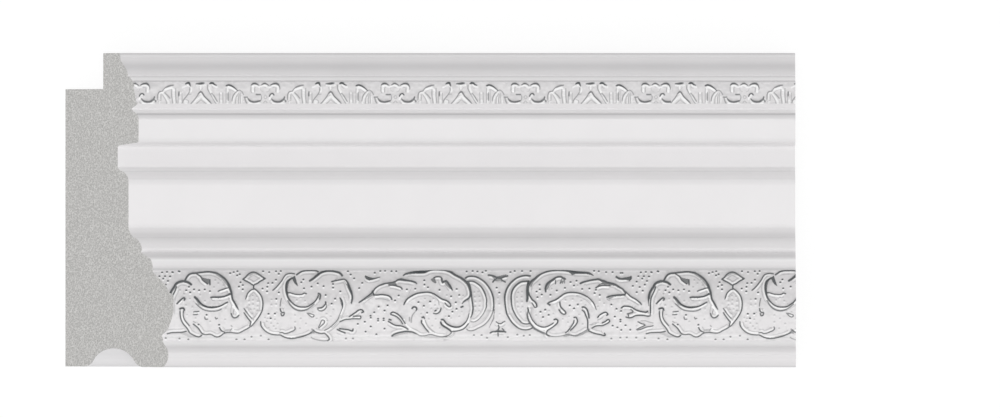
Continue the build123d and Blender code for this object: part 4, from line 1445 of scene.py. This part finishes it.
# %% scroll and palmette of the frieze
SCROLL = """
ridge .36 .9 -3.3,7.45,.2 -2.95,7.12,.35 -2.45,7.05,.42 -1.95,7.2,.3 -1.55,7.45,.15
ridge .34 .85 -.9,7.35,.15 -.5,7.12,.28 -.1,7.05,.35 .3,7.2,.25 .8,7.5,.15
ridge .36 .9 1.15,7.45,.15 1.75,7.15,.32 2.45,7.05,.42 2.95,7.28,.38 3.2,7.65,.2 3.35,8.05,.12
    3.35,8.4,.1
light .32 -3,7.62 -2.4,7.5 -1.5,7.8 -.3,7.5 .9,7.95 1.8,7.55 2.8,7.65
light .5 -2.92,7.8 -2.92,8.9
light .5 2.9,7.8 2.9,8.95
line .16 .5 -3.35,7.8 -3.35,8.8 -3.1,9.2
line .16 .5 -2.5,8.1 -2.5,9
line .16 .5 2.5,8.1 2.45,9
line .12 .3 -1.1,8 -1,8.7 -.5,8.9
line .12 .3 1.1,8.1 .8,8.8 .3,9
line .3 .8 -2.1,9.6 -1.2,9.6
line .15 .6 -1.05,9.7 -.85,10.2 -1,10.9
ridge .46 .85 -4.1,10.5,.2 -3.55,11.1,.4 -2.7,11.36 -1.9,11.25 -1.2,11.05,.3
line .3 .7 -4.9,10.2 -4.2,10.2
line .2 .65 -4.8,10.4 -4.6,11.1 -4.35,11.6
light .25 -4.3,10.5 -4.15,10.9
ridge .36 .95,10,.25 1.2,9.55 1.7,9.38 2,9.7,.25
light .32 .95,10.7 1.1,10.2 1.6,9.85
ridge .46 .85 1.45,10.6,.2 1.8,11.02,.34 2.45,11.3,.46 3.3,11.3 3.95,10.97 4.35,10.5,.34
    4.45,10.1,.2
line .34 .8 4.5,10.85 4.72,11.15
light .25 4.15,10.6 4,11
light .38 -3.9,11.7 -1.2,11.75
light .38 1.7,11.7 4.5,11.7
line .13 .4 -.4,10.2 0,9.8 .4,10.2 0,10.6 -.4,10.2
line .13 .4 -.4,11.5 0,11.1 .4,11.5
"""
PALMETTE = """
line .45 .9 -1.15,7.1,.25 -.3,7.08,.45 .2,7 .65,6.95,.3
light .35 -1,7.45 .9,7.45
light .32 -.12,7.6 -.12,8.3
line .1 .3 -.6,8 -.15,8.6 .5,8
ridge .3 .8 -.65,9.4,.2 -.15,8.98,.34 .12,9.06 .5,9.6,.26 .75,10 1.35,10.6 1.95,11.2 2.4,11.75,.15
light .3 .02,9.28 .04,9.32
line .18 .75 -.65,9.45 -1.15,10.3 -1.7,11 -2.4,11.8
light .5 -.1,10.1 -.9,10.6 -1.6,11.35 -2,11.7
light .5 .1,10.1 .75,10.75 1.3,11.3 1.9,11.75
line .12 .5 -.1,10.85 -.8,11.5 -1.1,11.8
line .12 .5 0,10.85 .8,11.5 1.3,11.8
ridge .5 -3.65,7.15,.2 -3.3,6.96,.4 -2.85,6.92,.52 -2.68,7.22,.35 -2.5,7.65,.2
light .34 -4.3,7.95 -3.75,7.62 -3.1,7.4
light .36 -2.62,7.65 -2.3,8.1 -2.3,8.6 -2.55,8.95
line .2 .65 -2.65,8 -2.65,8.8 -3.05,9.55 -3.65,10.3 -4.15,11 -4.3,11.5
light .85 -3.55,11.3 -3.55,11.45
line .14 .5 -3.1,9.6 -2.3,9.5
line .12 .5 -3.55,10.8 -3,11 -2.95,11.5
ridge .5 2,7.1,.25 2.35,6.92,.5 2.8,7,.42 3.1,7.3,.32 3.55,7.45,.2
light .45 2,7.5 1.9,8 2.1,8.65 2.3,9.1
light .38 2.85,7.5 3.7,7.9
line .18 .65 1.53,7.4 1.53,8.3 1.95,9.15 2.35,9.8 2.9,10.8 3.5,11.7
line .24 .65 2.45,9.3 3,9.95 3.5,10.8 3.75,11.2
light .42 2.5,9.8 3.1,10.7 3.7,11.6
line .3 .8 -5.15,9 -5.2,9.9
light .36 -4.76,9.18 -4.76,9.25
light .46 -4.87,11 -4.9,11.75
line .13 .5 -5.3,9.9 -5.4,11.6
line .13 .5 -4.45,9.3 -4.4,11
light .36 4.6,9.18 4.6,9.25
light .46 4.68,11 4.68,11.75
line .13 .5 4.25,9.2 4.3,11.4
line .13 .5 5.05,9.2 5.1,11.4
ridge .2 .65 -10.1,10.8 -10.05,9.6 -9.7,8.98 -9.05,8.87 -8.85,8.62 -8.45,8.14 -7.95,7.85,.36
    -7.2,7.56 -6.45,7.42,.25
light .42 -8.6,8.62 -8.1,8.32 -7.4,8.15 -6.8,8.08 -6.4,8.45 -6.3,8.8
light .36 -6.36,9.1 -6.36,9.3
light .42 -6.36,9.8 -6.3,10.5 -6.2,11.75
line .14 .6 -6.85,8.4 -6.9,9.6 -6.7,10.9 -6.6,11.6
line .14 .6 -5.9,8.2 -5.9,9.8 -5.75,11.5
line .22 .6 -8.45,9.2 -7.8,9.8 -7.25,10.5
light .45 -9.1,9.15 -8.45,9.8 -7.95,10.6 -7.6,11.3 -7.5,11.75
line .13 .5 -9.15,9.4 -8.55,10.3 -8.15,11.1 -8,11.75
light .28 -9.7,9.8 -9.7,10.1
light .28 -9.65,11.1 -9.65,11.6
line .14 .5 -9.35,9.7 -9.35,10.7
line .13 .4 -9.95,11.2 -9.3,10.9
ridge .3 5.85,7.55 6.35,7.4,.36 7,7.56 7.65,7.95,.28 8.15,8.38,.2 8.5,8.72,.18
light .42 6.2,8 6.85,8.08 7.5,8.4 8.1,8.75
light .4 6.15,8.1 6.12,9.1
line .22 .7 6.3,9.1 6.3,11
light .42 6.12,11 6.12,11.75
line .13 .5 5.85,8.2 5.8,11.4
line .12 .4 6.7,8.6 6.75,11.4
line .18 .65 8.5,8.72 8.9,8.55 9.5,8.95 9.9,9.65
line .2 .65 8.4,8.8 7.85,9.3 7.35,10.15 7.2,11.1
light .36 8.5,9.15 7.95,9.8 7.5,10.8 7.35,11.75
line .12 .5 8.7,9.3 8.15,10.3 8,11.75
line .12 .5 8.85,9.6 8.65,10.8 8.7,11.75
line .12 .5 9.1,9.3 9.15,10.6 9.2,11.6
light .3 9.42,10.2 9.42,11.6
light .2 8.4,10.3 8.35,11.6
"""
PATTERN_BREAK = 141.15
LIGHT_WEIGHT = 0.78
SCROLLS = ((16.5, 46.76, 77.02, 107.3, 137.65), (158.3,))
PALMETTES = ((1.5, 31.8, 62.04, 92.4, 122.6), (143.32, 173.6))
print("rows in the scroll and palmette:", [len(read_drawing(d)) for d in (SCROLL, PALMETTE)])

# %% [markdown]
# The frieze leans outwards on its way down, and its ground is sunk a quarter of a millimetre. Each
# figure is pressed at every one of its middles, and only on its own side of the pattern's break.

# %% frieze
FRIEZE_SPACING = 0.097
FRIEZE_BEGIN = 12.0
FRIEZE_SUNK = 0.25
FRIEZE_PATTERN = (0.0015, -0.08)


def carve_frieze(relief):
    """Press both figures at their middles, before and after the break."""
    for drawing, middles in ((SCROLL, SCROLLS), (PALMETTE, PALMETTES)):
        for kind, numbers, points in read_drawing(drawing):
            width, strength = (numbers + [1.0])[:2]
            strength *= LIGHT_WEIGHT if kind == "light" else 1
            for run, keep_range in zip(middles, ((0, PATTERN_BREAK), (PATTERN_BREAK, LENGTH + 1))):
                for middle in run:
                    press_stroke(relief, kind, width, strength, points, middle, keep_range)


def frieze_ground(h):
    """Depth of the sunk ground at heights h, on a face that leans outwards."""
    lean = (FRIEZE_END - FRIEZE_START) / (FRIEZE_FOOT - FRIEZE_TOP)
    sunk = FRIEZE_SUNK * ease((h - FRIEZE_TOP) / 0.4) * ease((FRIEZE_FOOT - h) / 0.4)
    return FRIEZE_START + (h - FRIEZE_TOP) * lean - sunk


carved_band(
    "carved_frieze",
    (FRIEZE_BEGIN, LENGTH),
    (FRIEZE_TOP, FRIEZE_FOOT),
    FRIEZE_SPACING,
    frieze_ground,
    carve_frieze,
    FRIEZE_BED,
    FRIEZE_PATTERN,
)
